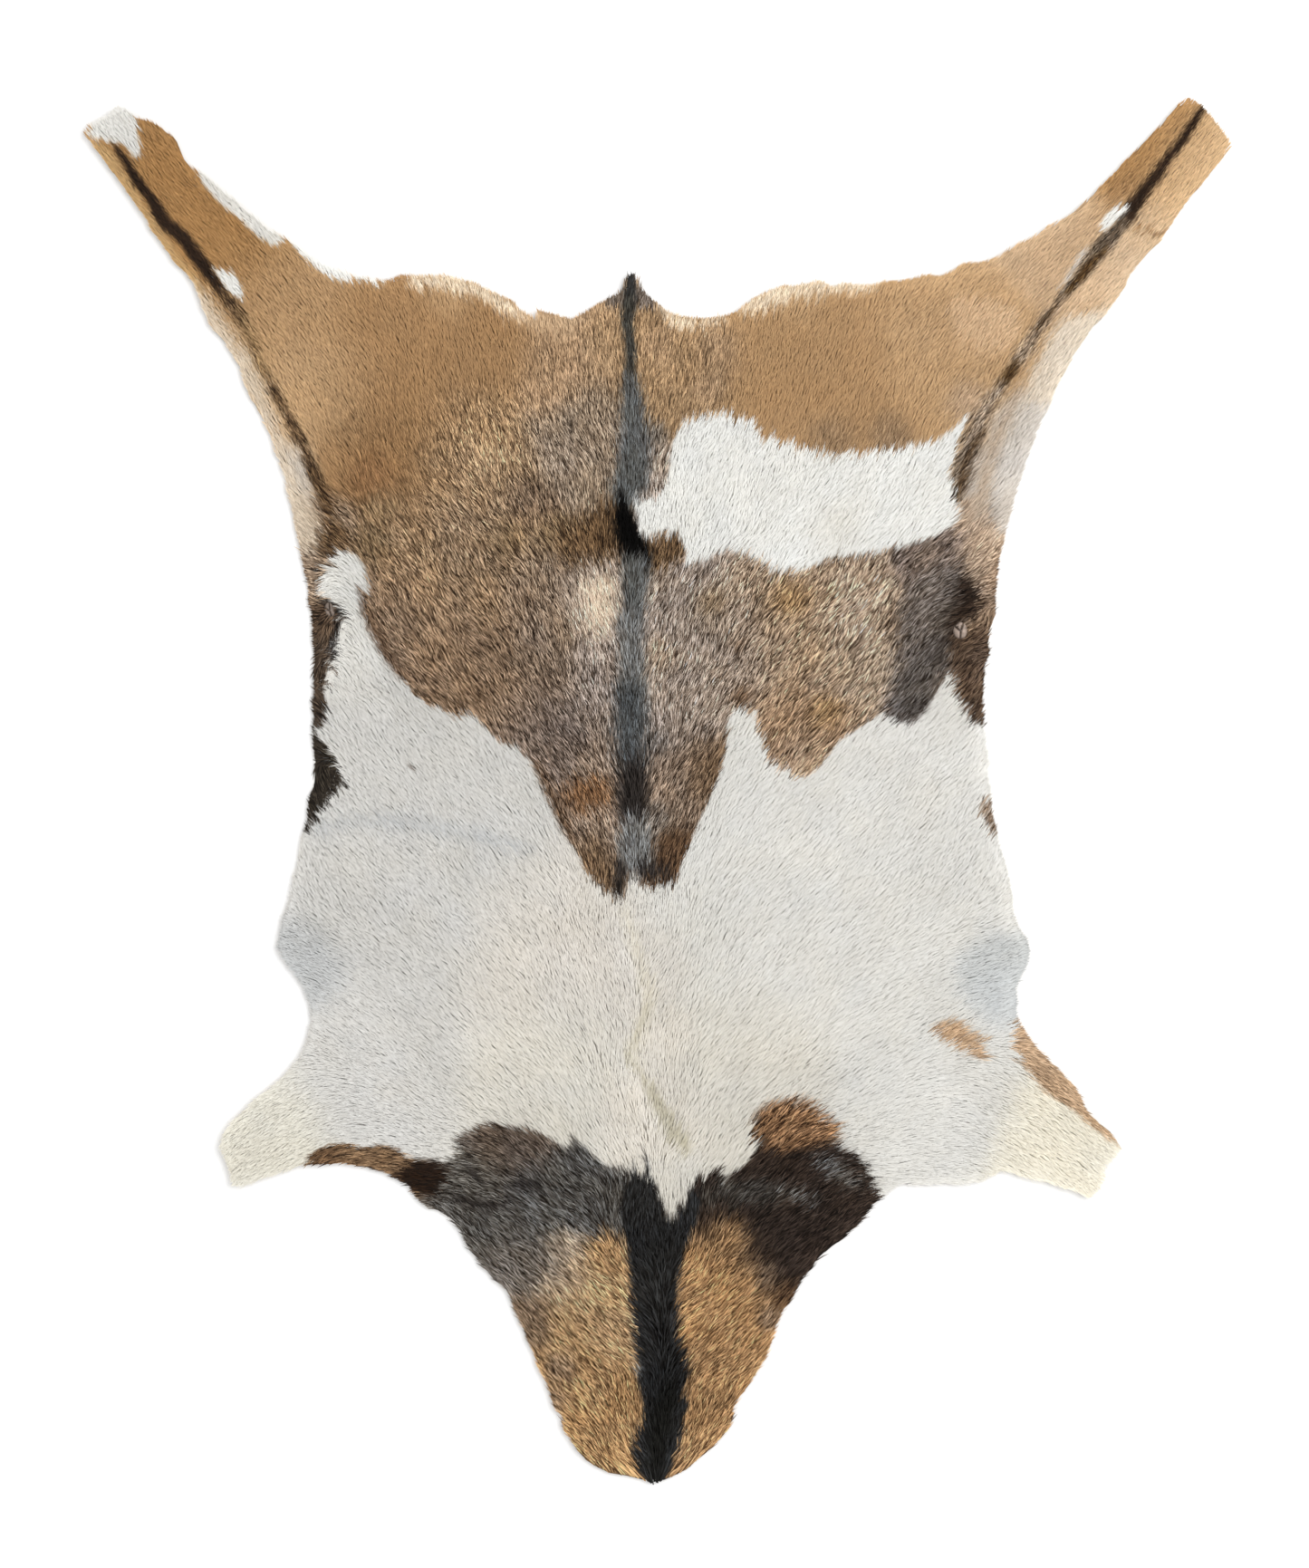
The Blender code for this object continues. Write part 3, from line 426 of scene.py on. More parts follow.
        (-88, 21, 1.0), (-81, 7, 2.5), (-74, -8, 3.0), (-67, -22, 3.0), (-61, -35, 1.5),
    )),
    "white tip, left hind leg": ("clear white", 1.5, (
        (-412, 475), (-405, 486), (-389, 500), (-378, 495), (-374, 488), (-376, 485), (-374, 473),
        (-372, 464), (-376, 456), (-384, 465), (-392, 467), (-405, 471),
    )),
    "white spot, left hind leg": ("bright white", 1.2, (
        (-319, 376), (-312, 374), (-308, 377), (-305, 373), (-302, 367), (-298, 358), (-300, 354),
        (-306, 358), (-313, 365),
    )),
    "white rim, left hind leg": ("white", 1.5, (
        (-331, 448), (-328, 438), (-316, 424), (-302, 413), (-287, 399), (-279, 394), (-271, 396),
        (-274, 404), (-297, 424), (-323, 450),
    )),
    "white rim, left rump": ("bright white", 1.5, (
        (-265, 397), (-258, 387), (-248, 379), (-238, 371), (-222, 368), (-199, 368), (-199, 375),
        (-232, 380), (-254, 396),
    )),
    # Painted shade: the soft crease along the withers, a little darker and warmer than the white round it
    "painted crease shade over the withers": ("warm crease shade", 6.0, (
        (-23, -87, 2.0), (-17, -108, 2.6), (-10, -129, 3.2), (-7, -146, 3.4), (-9, -161, 3.4),
        (-14, -174, 3.2), (-17, -185, 3.0), (-14, -197, 2.4),
    )),
    "shade of the fold over the withers": ("fold shade", 3.0, (
        (-8, -155, 0.5), (-13, -168, 1.0), (-18, -180, 1.3), (-23, -188, 1.0), (-18, -196, 1.4),
        (-12, -204, 2.2), (-5, -214, 3.4), (1, -225, 4.6), (8, -237, 5.4), (14, -248, 5.4), (20, -256, 4.0),
    )),
    # Painted shade: a faint crease across the left flank, greyer than the white round it
    "painted shade of a soft left flank crease": ("cool shaded white", 9.0, (
        (-245, -26, 2.0), (-199, -20, 2.5), (-147, -28, 2.0), (-91, -41, 1.0),
    )),
    "dark hairs over the mane": ("mane black", 1.2, ((-19, -264, 0.1), (-17, -269, 0.5), (-15, -274, 1.2))),
    "dark hairs beside them": ("mane black", 1.2, ((-10, -261, 0.1), (-8, -267, 0.4), (-7, -274, 1.0))),
    "white spot, right hind leg": ("bright white", 1.0, (
        (319, 403), (320, 411), (325, 418), (333, 424), (340, 423), (335, 416), (328, 410), (323, 403),
    )),
    "tan spot, right armpit": ("spot tan", 2.5, (
        (199, -169), (208, -164), (219, -165), (226, -173), (235, -180), (237, -191), (232, -193),
        (222, -186), (209, -179),
    )),
    "tan rim, right foreleg": ("spot tan", 2.0, (
        (259, -163), (258, -174), (260, -188), (268, -203), (279, -216), (290, -223), (301, -230),
        (310, -239), (320, -247), (328, -253), (331, -245), (297, -199), (267, -167),
    )),
    "brown spot over the right shoulder": ("spot brown", 5, (
        (71, -250), (70, -241), (72, -232), (78, -225), (87, -223), (96, -224), (105, -222), (112, -225),
        (117, -231), (124, -234), (129, -241), (129, -249), (119, -252), (109, -255), (97, -258),
        (85, -258), (77, -255),
    )),
    "dark end of the left foreleg": ("dark end", 3.5, (
        (-189, -278), (-180, -266), (-169, -265), (-156, -267), (-151, -275), (-155, -284), (-162, -292),
        (-174, -289), (-182, -284),
    )),
    "dark clump, left shoulder": ("clump black", 4.0, (
        (-144, -292, 2.5), (-122, -298, 3.5), (-112, -296, 2.0),
    )),
    "dark clump over it": ("clump black", 4.0, (
        (-109, -295, 1.5), (-105, -285, 2.5), (-91, -281, 3.5), (-80, -287, 2.0),
    )),
    "dark clump near the foreleg": ("clump black", 3.5, ((-134, -270, 2.5), (-129, -278, 2.0))),
    "grey fleck, left shoulder": ("taupe", 2.0, ((-87, -257, 1.2), (-80, -257, 1.5))),
    "dusk of the right shoulder": ("shoulder dusk", 8.0, (
        (35, -292, 5.0), (49, -287, 8.0), (67, -287, 8.0), (85, -289, 6.0),
    )),
    # Painted sheen: grey highlights on the glossy dark hair of the right shoulder
    "painted sheen, right shoulder": ("shoulder painted sheen", 6.0, (
        (114, -263, 1.5), (124, -268, 4.0), (136, -276, 4.5), (145, -283, 2.0),
    )),
    "painted sheen below it": ("shoulder painted sheen", 7.0, ((89, -284, 1.0), (102, -290, 2.2), (113, -294, 1.2))),
    "tan peak left of the mane": ("neck tan low", 5, (
        (-46, -338), (-46, -327), (-42, -319), (-37, -315), (-31, -322), (-25, -331), (-24, -344),
        (-35, -347),
    )),
    "mane": ("mane black", 2.0, (
        (-19, -272), (-11, -276), (-3, -281), (3, -296), (10, -308), (18, -296), (25, -284), (31, -291),
        (29, -307), (24, -318), (18, -333), (16, -363), (16, -384), (20, -404), (23, -416), (18, -431),
        (23, -439), (18, -451), (17, -463), (14, -476), (10, -488), (5, -506), (-6, -506), (-14, -493),
        (-18, -478), (-16, -463), (-11, -453), (-11, -438), (-14, -423), (-16, -403), (-19, -376),
        (-20, -351), (-22, -327), (-27, -300),
    )),
    "mane, lower end": ("mane end", 5.0, (
        (8, -431, 6.0), (3, -450, 8.0), (-1, -473, 7.0), (-3, -493, 5.5),
    )),
    "white fleck beside the mane": ("fleck grey", 3, (
        (-17, -406), (-14, -404), (-12, -413), (-13, -422), (-16, -418),
    )),
    "grey fleck, left side": ("teat grey", 1.0, ((-179, 21, 0.3), (-177, 18, 0.9), (-175, 15, 0.4))),
    "small patch, right flank": ("neck brown", 3, (
        (232, -6), (238, -8), (245, -17), (247, -28), (241, -26), (234, -17),
    )),
}

# The coat's make, on either side of the parting. The columns are
# off_mm, y_mm, reach_mm: as above
# length_mm, width_mm: of one lock of a few hairs
# bunching: how far locks lean together
HAIR_SIZES = (
    (372, 466, 60, 6.0, 0.75, 0.3), (274, 362, 60, 7.0, 0.80, 0.4), (130, 323, 70, 8.5, 0.82, 0.5),
    (0, 365, 14, 15.0, 0.95, 0.8), (0, 230, 60, 11.0, 0.80, 0.8), (0, 60, 80, 11.0, 0.80, 0.9),
    (150, 150, 80, 10.5, 0.80, 0.9), (100, -30, 80, 12.0, 0.95, 0.40), (222, -56, 60, 10.0, 0.90, 0.6),
    (120, -180, 80, 12.0, 0.95, 0.35), (287, -255, 50, 9.0, 0.85, 0.35), (0, -180, 50, 12.5, 0.95, 0.30),
    (110, -300, 50, 13.0, 0.80, 0.9), (60, -420, 60, 11.0, 0.74, 0.7), (0, -380, 22, 17.0, 1.00, 1.0),
    (0, -480, 22, 17.0, 1.00, 1.0),
)

# How far the hair stands out past the solid's outline. The columns are
# x_mm, y_mm, reach_mm: as above
# past_mm: how far out the tips lie
STANDING_OUT = (
    (-17, 372, 7, 3.5), (-60, 330, 30, -0.6), (80, 340, 25, -0.8), (-225, 376, 22, 2.8),
    (-257, 392, 18, 2.5), (-104, 353, 12, -0.7), (-180, 372, 20, 1.0), (125, 369, 20, 0.4),
    (-411, 467, 12, 2.5), (-375, 420, 35, -0.8), (-361, 478, 12, -1.0), (-305, 425, 20, 1.6),
    (-270, 260, 60, -0.8), (-250, 80, 70, -0.8), (-265, -100, 45, -1.2), (-252, -165, 25, -1.2),
    (-300, -260, 40, -0.8), (-175, -290, 22, -1.4), (-120, -340, 35, -1.6), (-75, -440, 40, -0.5),
    (0, -497, 16, 4.5), (50, -448, 25, -0.8), (98, -362, 18, 0.6), (145, -310, 22, -1.4),
    (163, -288, 9, -3.2), (144, -306, 9, -2.4), (260, -277, 25, -1.2), (329, -265, 12, 2.0),
    (330, -249, 12, -0.6), (210, -284, 18, 1.2), (241, -16, 12, -0.6), (262, -140, 30, -0.8),
    (240, 15, 20, 0.6), (240, 100, 30, -0.6), (288, 290, 40, 0.4), (300, 420, 30, 0.8), (388, 495, 9, -0.2),
    (340, 380, 30, 0.4),
)

# The two teats: x_mm, y_mm, half length, half width, height, the heading of the long side in degrees, and how
# light the skin is
TEATS = {
    "teat_left": (-236.0, 130.5, 6.0, 3.6, 4.6, -12.0, 0.62),
    "teat_right": (217.4, 115.9, 6.2, 5.2, 5.2, 8.0, 1.0),
}
# The arms of the cleft in a teat's top, across and along it, as shares of its half width and half length
TEAT_CLEFT = (((0.1, -1.0), (0.0, -0.1)), ((0.0, -0.1), (-0.75, 0.35)), ((0.0, -0.1), (0.25, 0.95)))
CLEFT_WIDTH, CLEFT_DEPTH = 0.13, 0.34
TEAT_RINGS, TEAT_AROUND = 16, 48

COAT_PARTS = ("coat_haunches", "coat_loin", "coat_flanks", "coat_withers", "coat_neck")
LOCK_SEGMENTS = 2
# The fine lines across one lock
LINES_ACROSS = 3.5
# How much the width of single locks differs
LOCK_UNEVENNESS = 0.25
# Hair that is trimmed shorter than this, in millimetres, lies lower
SHORT_HAIR = 5.0
# How far a root lies from its place in the even spread, as a share of the spread's pitch
ROOT_SCATTER = 0.42
# What chance does to the locks: the least, and what is added at most
LENGTH_CHANCE = (0.82, 0.3)
STEP_CHANCE = (0.85, 0.6)
# How much locks lean by chance: alone, and added to that where they bunch
LEAN_CHANCE = (0.03, 0.07)
# How much the streaks in the coat change the locks' length, and the shares of dark and light locks
STREAK_LENGTH, STREAK_PULL = 0.08, 0.28
# How far down its length a lock shows the colour of its place: the mean, and what tufts and chance add
SHOWING, SHOWING_TUFT, SHOWING_CHANCE = 0.70, 0.24, 0.5
SHOWING_RANGE = (0.2, 1.05)
# How far a lock's tip sways aside, as a share of its length, and how far a lock may roll, in radians
SWAY_SHARE, ROLL_LIMIT = 0.10, 1.2
# How high a tip lies in the depth of the coat, what a streak adds to that, and how steeply a lock rises
RISE, STREAK_RISE, RISE_CURVE = 0.84, 0.03, 2.2
# The locks' place over the skin, the coat's least depth, and how deep the roots are set, in millimetres
OVER_SKIN, LEAST_DEPTH, ROOT_DEPTH = 0.1, 0.8, 0.3
# How far the fuzz stands out past the hair's edge, in millimetres, and how locks are shortened to that
FUZZ = 0.45
TRIM_SHARE, TRIM_TIMES = 0.84, 9
# How far out a mark's depth is measured, in millimetres, and how far chance shifts its border for a lock
MARK_MARGIN, MARK_CHANCE = 12.0, 0.5

# The grid on which the solid's heights are read, and the spacing of the skin's corners, in millimetres
GRID_STEP = 2.0
GRID_MARGIN = 24.0
SKIN_STEP = 9.0

# Noise over the hide. Sums of bumps have rows of strength, cell_mm and seed; streaks along the hair have
# cell_mm, reach_mm and seed
BORDER_BUMPS = ((0.4, 9.0, 12),)
BORDER_STREAKS = (2.2, 6.0, 11)
BORDER_TEETH = (1.5, 4.0, 13)
BORDER_TEETH_MM = 3.8
LIGHT_CLOUDS = ((0.75, 20.0, 41), (0.35, 8.0, 42))
BROWN_CLOUDS = ((0.6, 24.0, 43), (0.4, 9.0, 44))
LEAN_WAVES = ((0.20, 16.0, 21), (0.16, 6.0, 22))
SHADE_STREAKS = (1.4, 5.0, 23)
TUFT_STREAKS = (1.8, 5.0, 24)
SKIN_PLEATS = ((0.25, 14.0, 5),)
SKIN_SEED = 31
# The same on a teat, in shares of its half length and half width
TEAT_LUMPS = ((0.12, 0.45, 61),)
TEAT_SWELLS = ((0.06, 0.8, 62),)

# The lamps: place and size in metres, and the setting that holds the power
LAMPS = {
    "key light": ((1.7, 0.9, 2.6), 3.4, "key_power"),
    "fill light": ((-1.8, -0.9, 2.4), 2.4, "fill_power"),
}
FLOOR_HALF = 4.0
FLOOR_BELOW = 0.0004

# A Mix node has its inputs once for each type of value, so those for colours go by number
MIX_SHARE, MIX_FIRST, MIX_SECOND, MIX_RESULT = 0, 6, 7, 2


def srgb_to_linear(colour):
    colour = np.asarray(colour, float)
    return np.where(colour <= 0.04045, colour / 12.92, ((colour + 0.055) / 1.055) ** 2.4)


def smooth_step(share):
    share = np.clip(share, 0.0, 1.0)
    return share * share * (3.0 - 2.0 * share)


def column(rows, number):
    return np.array([row[number] for row in rows], float)


def growing(pair, share):
    """The first number of a pair, and the second added to it by a share."""
    return pair[0] + pair[1] * share


def to_the_right(way):
    """The directions a quarter turn clockwise from these."""
    return np.stack([way[:, 1], -way[:, 0]], axis=1)


def through(knots, spacing, closed):
    """A smooth curve through the knots, sampled on each knot and about one spacing apart between them."""
    count = len(knots)
    samples = []
    for i in range(count if closed else count - 1):
        around = [i + shift for shift in (-1, 0, 1, 2)]
        around = [k % count if closed else min(max(k, 0), count - 1) for k in around]
        p0, p1, p2, p3 = (np.array(knots[k], float) for k in around)
        steps = max(1, round(np.linalg.norm(p2[:2] - p1[:2]) / spacing))
        for step in range(steps):
            t = step / steps
            samples.append(
                0.5 * (2 * p1 + (p2 - p0) * t + (2 * p0 - 5 * p1 + 4 * p2 - p3) * t**2
                       + (3 * p1 - p0 - 3 * p2 + p3) * t**3)
            )
    if not closed:
        samples.append(np.array(knots[-1], float))
    return np.array(samples)


def nearest_on(line, points, closed):
    """Each point's distance to a line, and the stretch of the line and the share of it that are nearest."""
    start = line if closed else line[:-1]
    end = np.roll(line, -1, axis=0) if closed else line[1:]
    best_gap = np.full(len(points), np.inf)
    best_stretch = np.zeros(len(points), int)
    best_share = np.zeros(len(points))
    for i, (a, b) in enumerate(zip(start, end)):
        run = b - a
        offset = points - a
        share = np.clip((offset @ run) / max(run @ run, 1e-9), 0.0, 1.0)
        gap = ((offset - share[:, None] * run) ** 2).sum(axis=1)
        closer = gap < best_gap
        best_gap[closer] = gap[closer]
        best_stretch[closer] = i
        best_share[closer] = share[closer]
    return np.sqrt(best_gap), best_stretch, best_share


def inside(loop, points):
    """Which points lie inside the loop, by counting the edges to their right."""
    odd = np.zeros(len(points), bool)
    for (x0, y0), (x1, y1) in zip(loop, np.roll(loop, -1, axis=0)):
        if y0 == y1:
            continue
        spans = (y0 > points[:, 1]) != (y1 > points[:, 1])
        odd ^= spans & (points[:, 0] < x0 + (points[:, 1] - y0) * (x1 - x0) / (y1 - y0))
    return odd


def in_box_round(line, points, margin):
    low, high = line.min(axis=0) - margin, line.max(axis=0) + margin
    return ((points > low) & (points < high)).all(axis=1)


def say_of(rows, points):
    """How much say each row of a table has at each point, from its first three columns: middle and reach."""
    rows = np.array([row[:3] for row in rows], float)
    gap = np.linalg.norm(points[:, None, :] - rows[None, :, :2], axis=2)
    say = np.exp(-((gap / rows[:, 2]) ** 2)) + 1e-9 / (1.0 + gap)
    return say / say.sum(axis=1)[:, None]


def lattice_noise(points, cell, seed):
    """Smooth noise from -1 to 1 with bumps about one cell across, the same on every run."""
    size = 256
    table = np.random.default_rng(seed).uniform(-1.0, 1.0, (size, size))
    place = points / cell
    low = np.floor(place).astype(int)
    share = smooth_step(place - low)
    total = 0.0
    for dx in (0, 1):
        for dy in (0, 1):
            value = table[(low[:, 0] + dx) % size, (low[:, 1] + dy) % size]
            weight = (share[:, 0] if dx else 1 - share[:, 0]) * (share[:, 1] if dy else 1 - share[:, 1])
            total = total + value * weight
    return total


def bumps(points, rows):
    """Noise summed from rows of strength, cell and seed."""
    return sum(strength * lattice_noise(points, cell, seed) for strength, cell, seed in rows)


def streaks(points, lie, cell, reach, seed):
    """Noise that is drawn out along the lie of the hair."""
    shifts = np.linspace(-reach, reach, 5)
    return sum(lattice_noise(points + lie * shift, cell, seed) for shift in shifts) / len(shifts) ** 0.5


class Lie:
    """Where the skin and the top of the coat lie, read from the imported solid, in millimetres."""

    def __init__(self, node):
        corners = np.array([v.co for v in node.data.vertices], float) / MM
        faces = np.array([tuple(p.vertices) for p in node.data.polygons])
        self.corners, same = np.unique(np.round(corners, 4), axis=0, return_inverse=True)
        self.faces = same.reshape(-1)[faces]
        self.rim = self.find_rim()
        self.low = np.floor(self.rim.min(axis=0) - GRID_MARGIN)
        high = self.rim.max(axis=0) + GRID_MARGIN
        self.shape = tuple(int(n) for n in np.ceil((high - self.low) / GRID_STEP) + 1)
        columns, rows = np.meshgrid(*(np.arange(n) for n in self.shape), indexing="ij")
        self.grid = self.low + GRID_STEP * np.stack([columns.ravel(), rows.ravel()], axis=1)
        self.depth_inside = self.measure_depth()
        self.top, self.under = self.measure_heights()

    def find_rim(self):
        """The loop of edges between the faces that look up and those that look down, anticlockwise."""
        a, b, c = (self.corners[self.faces[:, k]] for k in range(3))
        upward = self.faces[np.cross(b - a, c - a)[:, 2] > 0]
        edges = {(int(f[k]), int(f[(k + 1) % 3])) for f in upward for k in range(3)}
        following = {p: q for p, q in edges if (q, p) not in edges}
        start = max(following, key=lambda p: self.corners[p][1])
        loop = [start]
        while following[loop[-1]] != start:
            loop.append(following[loop[-1]])
        return self.corners[loop][:, :2]

    def measure_depth(self):
        """Each grid point's distance to the rim, positive inside."""
        steps = np.linspace(0, 1, 12, endpoint=False)[:, None]
        ends = np.roll(self.rim, -1, axis=0)
        samples = np.concatenate([a + (b - a) * steps for a, b in zip(self.rim, ends)])
        tree = KDTree(len(samples))
        for i, (x, y) in enumerate(samples):
            tree.insert((x, y, 0.0), i)
        tree.balance()
        gap = np.array([tree.find((x, y, 0.0))[2] for x, y in self.grid])
        return np.where(inside(self.rim, self.grid), gap, -gap).reshape(self.shape)

    def measure_heights(self):
        """The heights of the solid's top and underside over the grid, carried on past the rim."""
        tree = BVHTree.FromPolygons([Vector(c) for c in self.corners], [tuple(f) for f in self.faces])
        within = self.depth_inside.ravel() > 0.2
        heights = []
        for start, way in ((100.0, -1.0), (-100.0, 1.0)):
            height = np.full(len(self.grid), np.nan)
            for i in np.flatnonzero(within):
                x, y = self.grid[i]
                hit = tree.ray_cast((x, y, start), (0.0, 0.0, way))[0]
                if hit is not None:
                    height[i] = hit.z
            heights.append(self.carried_on(height.reshape(self.shape)))
        return heights

    def carried_on(self, height):
        """Fills the cells past the rim with the mean of their known neighbours, ring by ring."""
        height = height.copy()
        for _ in range(int(GRID_MARGIN / GRID_STEP) + 4):
            padded = np.pad(height, 1, constant_values=np.nan)
            near = np.stack([
                padded[1 + dx:padded.shape[0] - 1 + dx, 1 + dy:padded.shape[1] - 1 + dy]
                for dx in (-1, 0, 1) for dy in (-1, 0, 1) if dx or dy
            ])
            count = (~np.isnan(near)).sum(axis=0)
            mean = np.nansum(near, axis=0) / np.maximum(count, 1)
            fill = np.isnan(height) & (count > 0)
            height[fill] = mean[fill]
        return np.nan_to_num(height, nan=0.0)

    def read(self, values, points):
        """A grid's values at the points, blended between its cells."""
        place = np.clip((points - self.low) / GRID_STEP, 0.0, np.array(self.shape) - 1.001)
        low = place.astype(int)
        sx, sy = (place - low).T
        i, j = low.T
        return (
            values[i, j] * (1 - sx) * (1 - sy) + values[i + 1, j] * sx * (1 - sy)
            + values[i, j + 1] * (1 - sx) * sy + values[i + 1, j + 1] * sx * sy
        )

    def staggered(self, step):
        """Points in rows over the grid's box, every second row shifted by half a step."""
        high = self.low + GRID_STEP * np.array(self.shape)
        rows = np.arange(self.low[1], high[1], step * math.sqrt(3) / 2)
        x, y = np.meshgrid(np.arange(self.low[0], high[0], step), rows)
        x[1::2] += step / 2
        return np.stack([x.ravel(), y.ravel()], axis=1)


def beside_parting(points):
    """Each point's distance from the parting and its y, and its side: 1 on the right, -1 on the left."""
    knots = np.array(PARTING[::-1], float)
    offset = points[:, 0] - np.interp(points[:, 1], knots[:, 1], knots[:, 0])
    return np.stack([np.abs(offset), points[:, 1]], axis=1), np.where(offset < 0, -1.0, 1.0)


def lie_of_hair(points):
    """The unit direction in which the hair's tips point."""
    place, side = beside_parting(points)
    say = say_of(COMB, place)
    heading = np.radians(column(COMB, 3))
    outward, tailward = say @ np.sin(heading), say @ np.cos(heading)
    outward *= side * smooth_step(0.15 + place[:, 0] / 10.0)
    lie = np.stack([outward, tailward], axis=1)
    for x, y, reach, heading in WHIRLS:
        turned = (math.sin(math.radians(heading)), math.cos(math.radians(heading)))
        share = np.exp(-(((points - (x, y)) ** 2).sum(axis=1) / reach**2))[:, None]
        lie = lie * (1.0 - share) + np.array(turned) * share
    return lie / np.maximum(np.linalg.norm(lie, axis=1), 1e-6)[:, None]


def hair_sizes(points):
    """Length, width and bunching of the locks."""
    say = say_of(HAIR_SIZES, beside_parting(points)[0])
    return (say @ np.array([row[3:] for row in HAIR_SIZES], float)).T


def patch_depth(outline, points, reach):
    """How far inside an outline each point lies, in millimetres, and negative outside it."""
    loop = through(outline, 4.0, closed=True)
    depth = np.full(len(points), -reach)
    near = in_box_round(loop, points, reach)
    if near.any():
        gap = nearest_on(loop, points[near], closed=True)[0]
        depth[near] = np.where(inside(loop, points[near]), gap, -gap)
    return depth


def stroke_depth(course, points, reach):
    """How far inside a stroke each point lies: its half width there, less the distance to its course."""
    course = through(course, 6.0, closed=False)
    line, half = course[:, :2], course[:, 2]
    depth = np.full(len(points), -reach)
    near = in_box_round(line, points, 2 * reach)
    if near.any():
        gap, stretch, share = nearest_on(line, points[near], closed=False)
        depth[near] = half[stretch] + share * (half[stretch + 1] - half[stretch]) - gap
    return depth


def coat_hues(points, lie, rng):
    """The main colour and the contrast of the hair at each point, chosen part by part."""
    mixes = {
        name: np.array([*getattr(settings(), colour_key(name)), contrast])
        for name, (*_, contrast) in HAIRS.items()
    }

    def blended(rows):
        return say_of(rows, points) @ np.array([mixes[row[3]] for row in rows])

    hue = blended(GROUND)
    white = blended(WHITE_PARTS)
    points = points + lie * (BORDER_TEETH_MM * streaks(points, lie, *BORDER_TEETH))[:, None]
    ragged = 0.5 * streaks(points, lie, *BORDER_STREAKS) + bumps(points, BORDER_BUMPS)
    for mix, softness, outline in MARKS.values():
        measure = stroke_depth if len(outline[0]) == 3 else patch_depth
        depth = measure(outline, points, MARK_MARGIN + 2 * softness)
        depth = depth + ragged * min(1.0, 0.3 * softness + 0.4)
        own_step = MARK_CHANCE * (rng.random(len(points)) - 0.5)
        share = smooth_step(0.5 + depth / (2.0 * softness) + own_step)[:, None]
        hue = hue * (1.0 - share) + (white if mix == "white" else mixes[mix]) * share
    return hue[:, :3], hue[:, 3]


def clouded(hue, contrast, points):
    """Soft clouds over the coat, lighter and darker, greyer and browner."""
    uneven = np.minimum(contrast, 1.0)
    light = bumps(points, LIGHT_CLOUDS) * growing(LIGHT_CLOUDING, uneven)
    brown = bumps(points, BROWN_CLOUDS) * growing(BROWN_CLOUDING, uneven)
    return hue * np.stack([1 + light + 0.5 * brown, 1 + light, 1 + light - brown], axis=1)


def single_locks(hue, contrast, streak, rng):
    """The colours of single locks: most have the main colour, and some are darker or lighter."""
    draw = rng.random(len(hue))
    dark = draw < DARK_SHARE * (1.0 + STREAK_PULL * streak)
    light = draw > 1.0 - LIGHT_SHARE * (1.0 - STREAK_PULL * streak)
    share = contrast[:, None] * growing(STEP_CHANCE, rng.random((len(hue), 1)))
    shade = np.where(dark[:, None], hue * (1.0 - np.array(DARK_STEP) * share), hue)
    shade = np.where(light[:, None], hue * (1.0 + np.array(LIGHT_STEP) * share), shade)
    tone = 1.0 + growing(TONE_CHANCE, share) * rng.standard_normal((len(hue), 1))
    return np.clip(shade * tone, 0.0, 1.0)


def along_lock(colours, contrast, along):
    """Darker towards a lock's root, by as much as its kind of hair is uneven."""
    rooted = growing(ROOT_SHADE, contrast) * (1.0 - along) ** 1.5
    return colours * (1.0 - rooted)[:, None]


def settings():
    return bpy.context.scene.goatskin


def colour_key(name):
    return "hair_" + name.replace(" ", "_")


def new_mesh(name, corners_mm, faces):
    mesh = bpy.data.meshes.new(name)
    mesh.from_pydata([tuple(c) for c in np.asarray(corners_mm) * MM], [], faces)
    mesh.validate()
    return mesh


def new_object(name, mesh):
    obj = bpy.data.objects.new(name, mesh)
    bpy.context.scene.collection.objects.link(obj)
    return obj


def write_colours(mesh, colours):
    """Stores one colour for each corner point, as the attribute that the hair's materials read."""
    layer = mesh.color_attributes.new("coat", "FLOAT_COLOR", "POINT")
    layer.data.foreach_set("color", np.column_stack([colours, np.ones(len(colours))]).ravel())


def write_layer(mesh, name, values):
    """Stores a number or a vector for each corner point."""
    values = np.ascontiguousarray(values, dtype=np.float32)
    kind, field = ("FLOAT", "value") if values.ndim == 1 else ("FLOAT_VECTOR", "vector")
    mesh.attributes.new(name, kind, "POINT").data.foreach_set(field, values.ravel())


def read_layer(mesh, name):
    values = np.zeros(len(mesh.vertices), np.float32)
    mesh.attributes[name].data.foreach_get("value", values)
    return values.astype(float)


def read_corners(mesh):
    corners = np.zeros(len(mesh.vertices) * 3, np.float32)
    mesh.vertices.foreach_get("co", corners)
    return corners.reshape(-1, 3)


# Nodes

def socket(tree, name, way, kind, value=None, low=None, high=None):
    made = tree.interface.new_socket(name, in_out=way, socket_type=kind)
    for key, setting in (("default_value", value), ("min_value", low), ("max_value", high)):
        if setting is not None:
            setattr(made, key, setting)


def wire(node, inputs):
    """Sets a node's inputs, or links them where the value is another node's output."""
    for port, value in inputs.items():
        if isinstance(value, bpy.types.NodeSocket):
            node.id_data.links.new(value, node.inputs[port])
        else:
            node.inputs[port].default_value = value


def add_node(tree, kind, inputs=None, **options):
    node = tree.nodes.new(kind)
    for key, value in options.items():
        setattr(node, key, value)
    wire(node, inputs or {})
    return node


def math_node(tree, operation, first, second):
    return add_node(tree, "ShaderNodeMath", {0: first, 1: second}, operation=operation).outputs[0]


def combined(tree, **axes):
    """A vector of the values for X, Y and Z."""
    return add_node(tree, "ShaderNodeCombineXYZ", axes).outputs["Vector"]


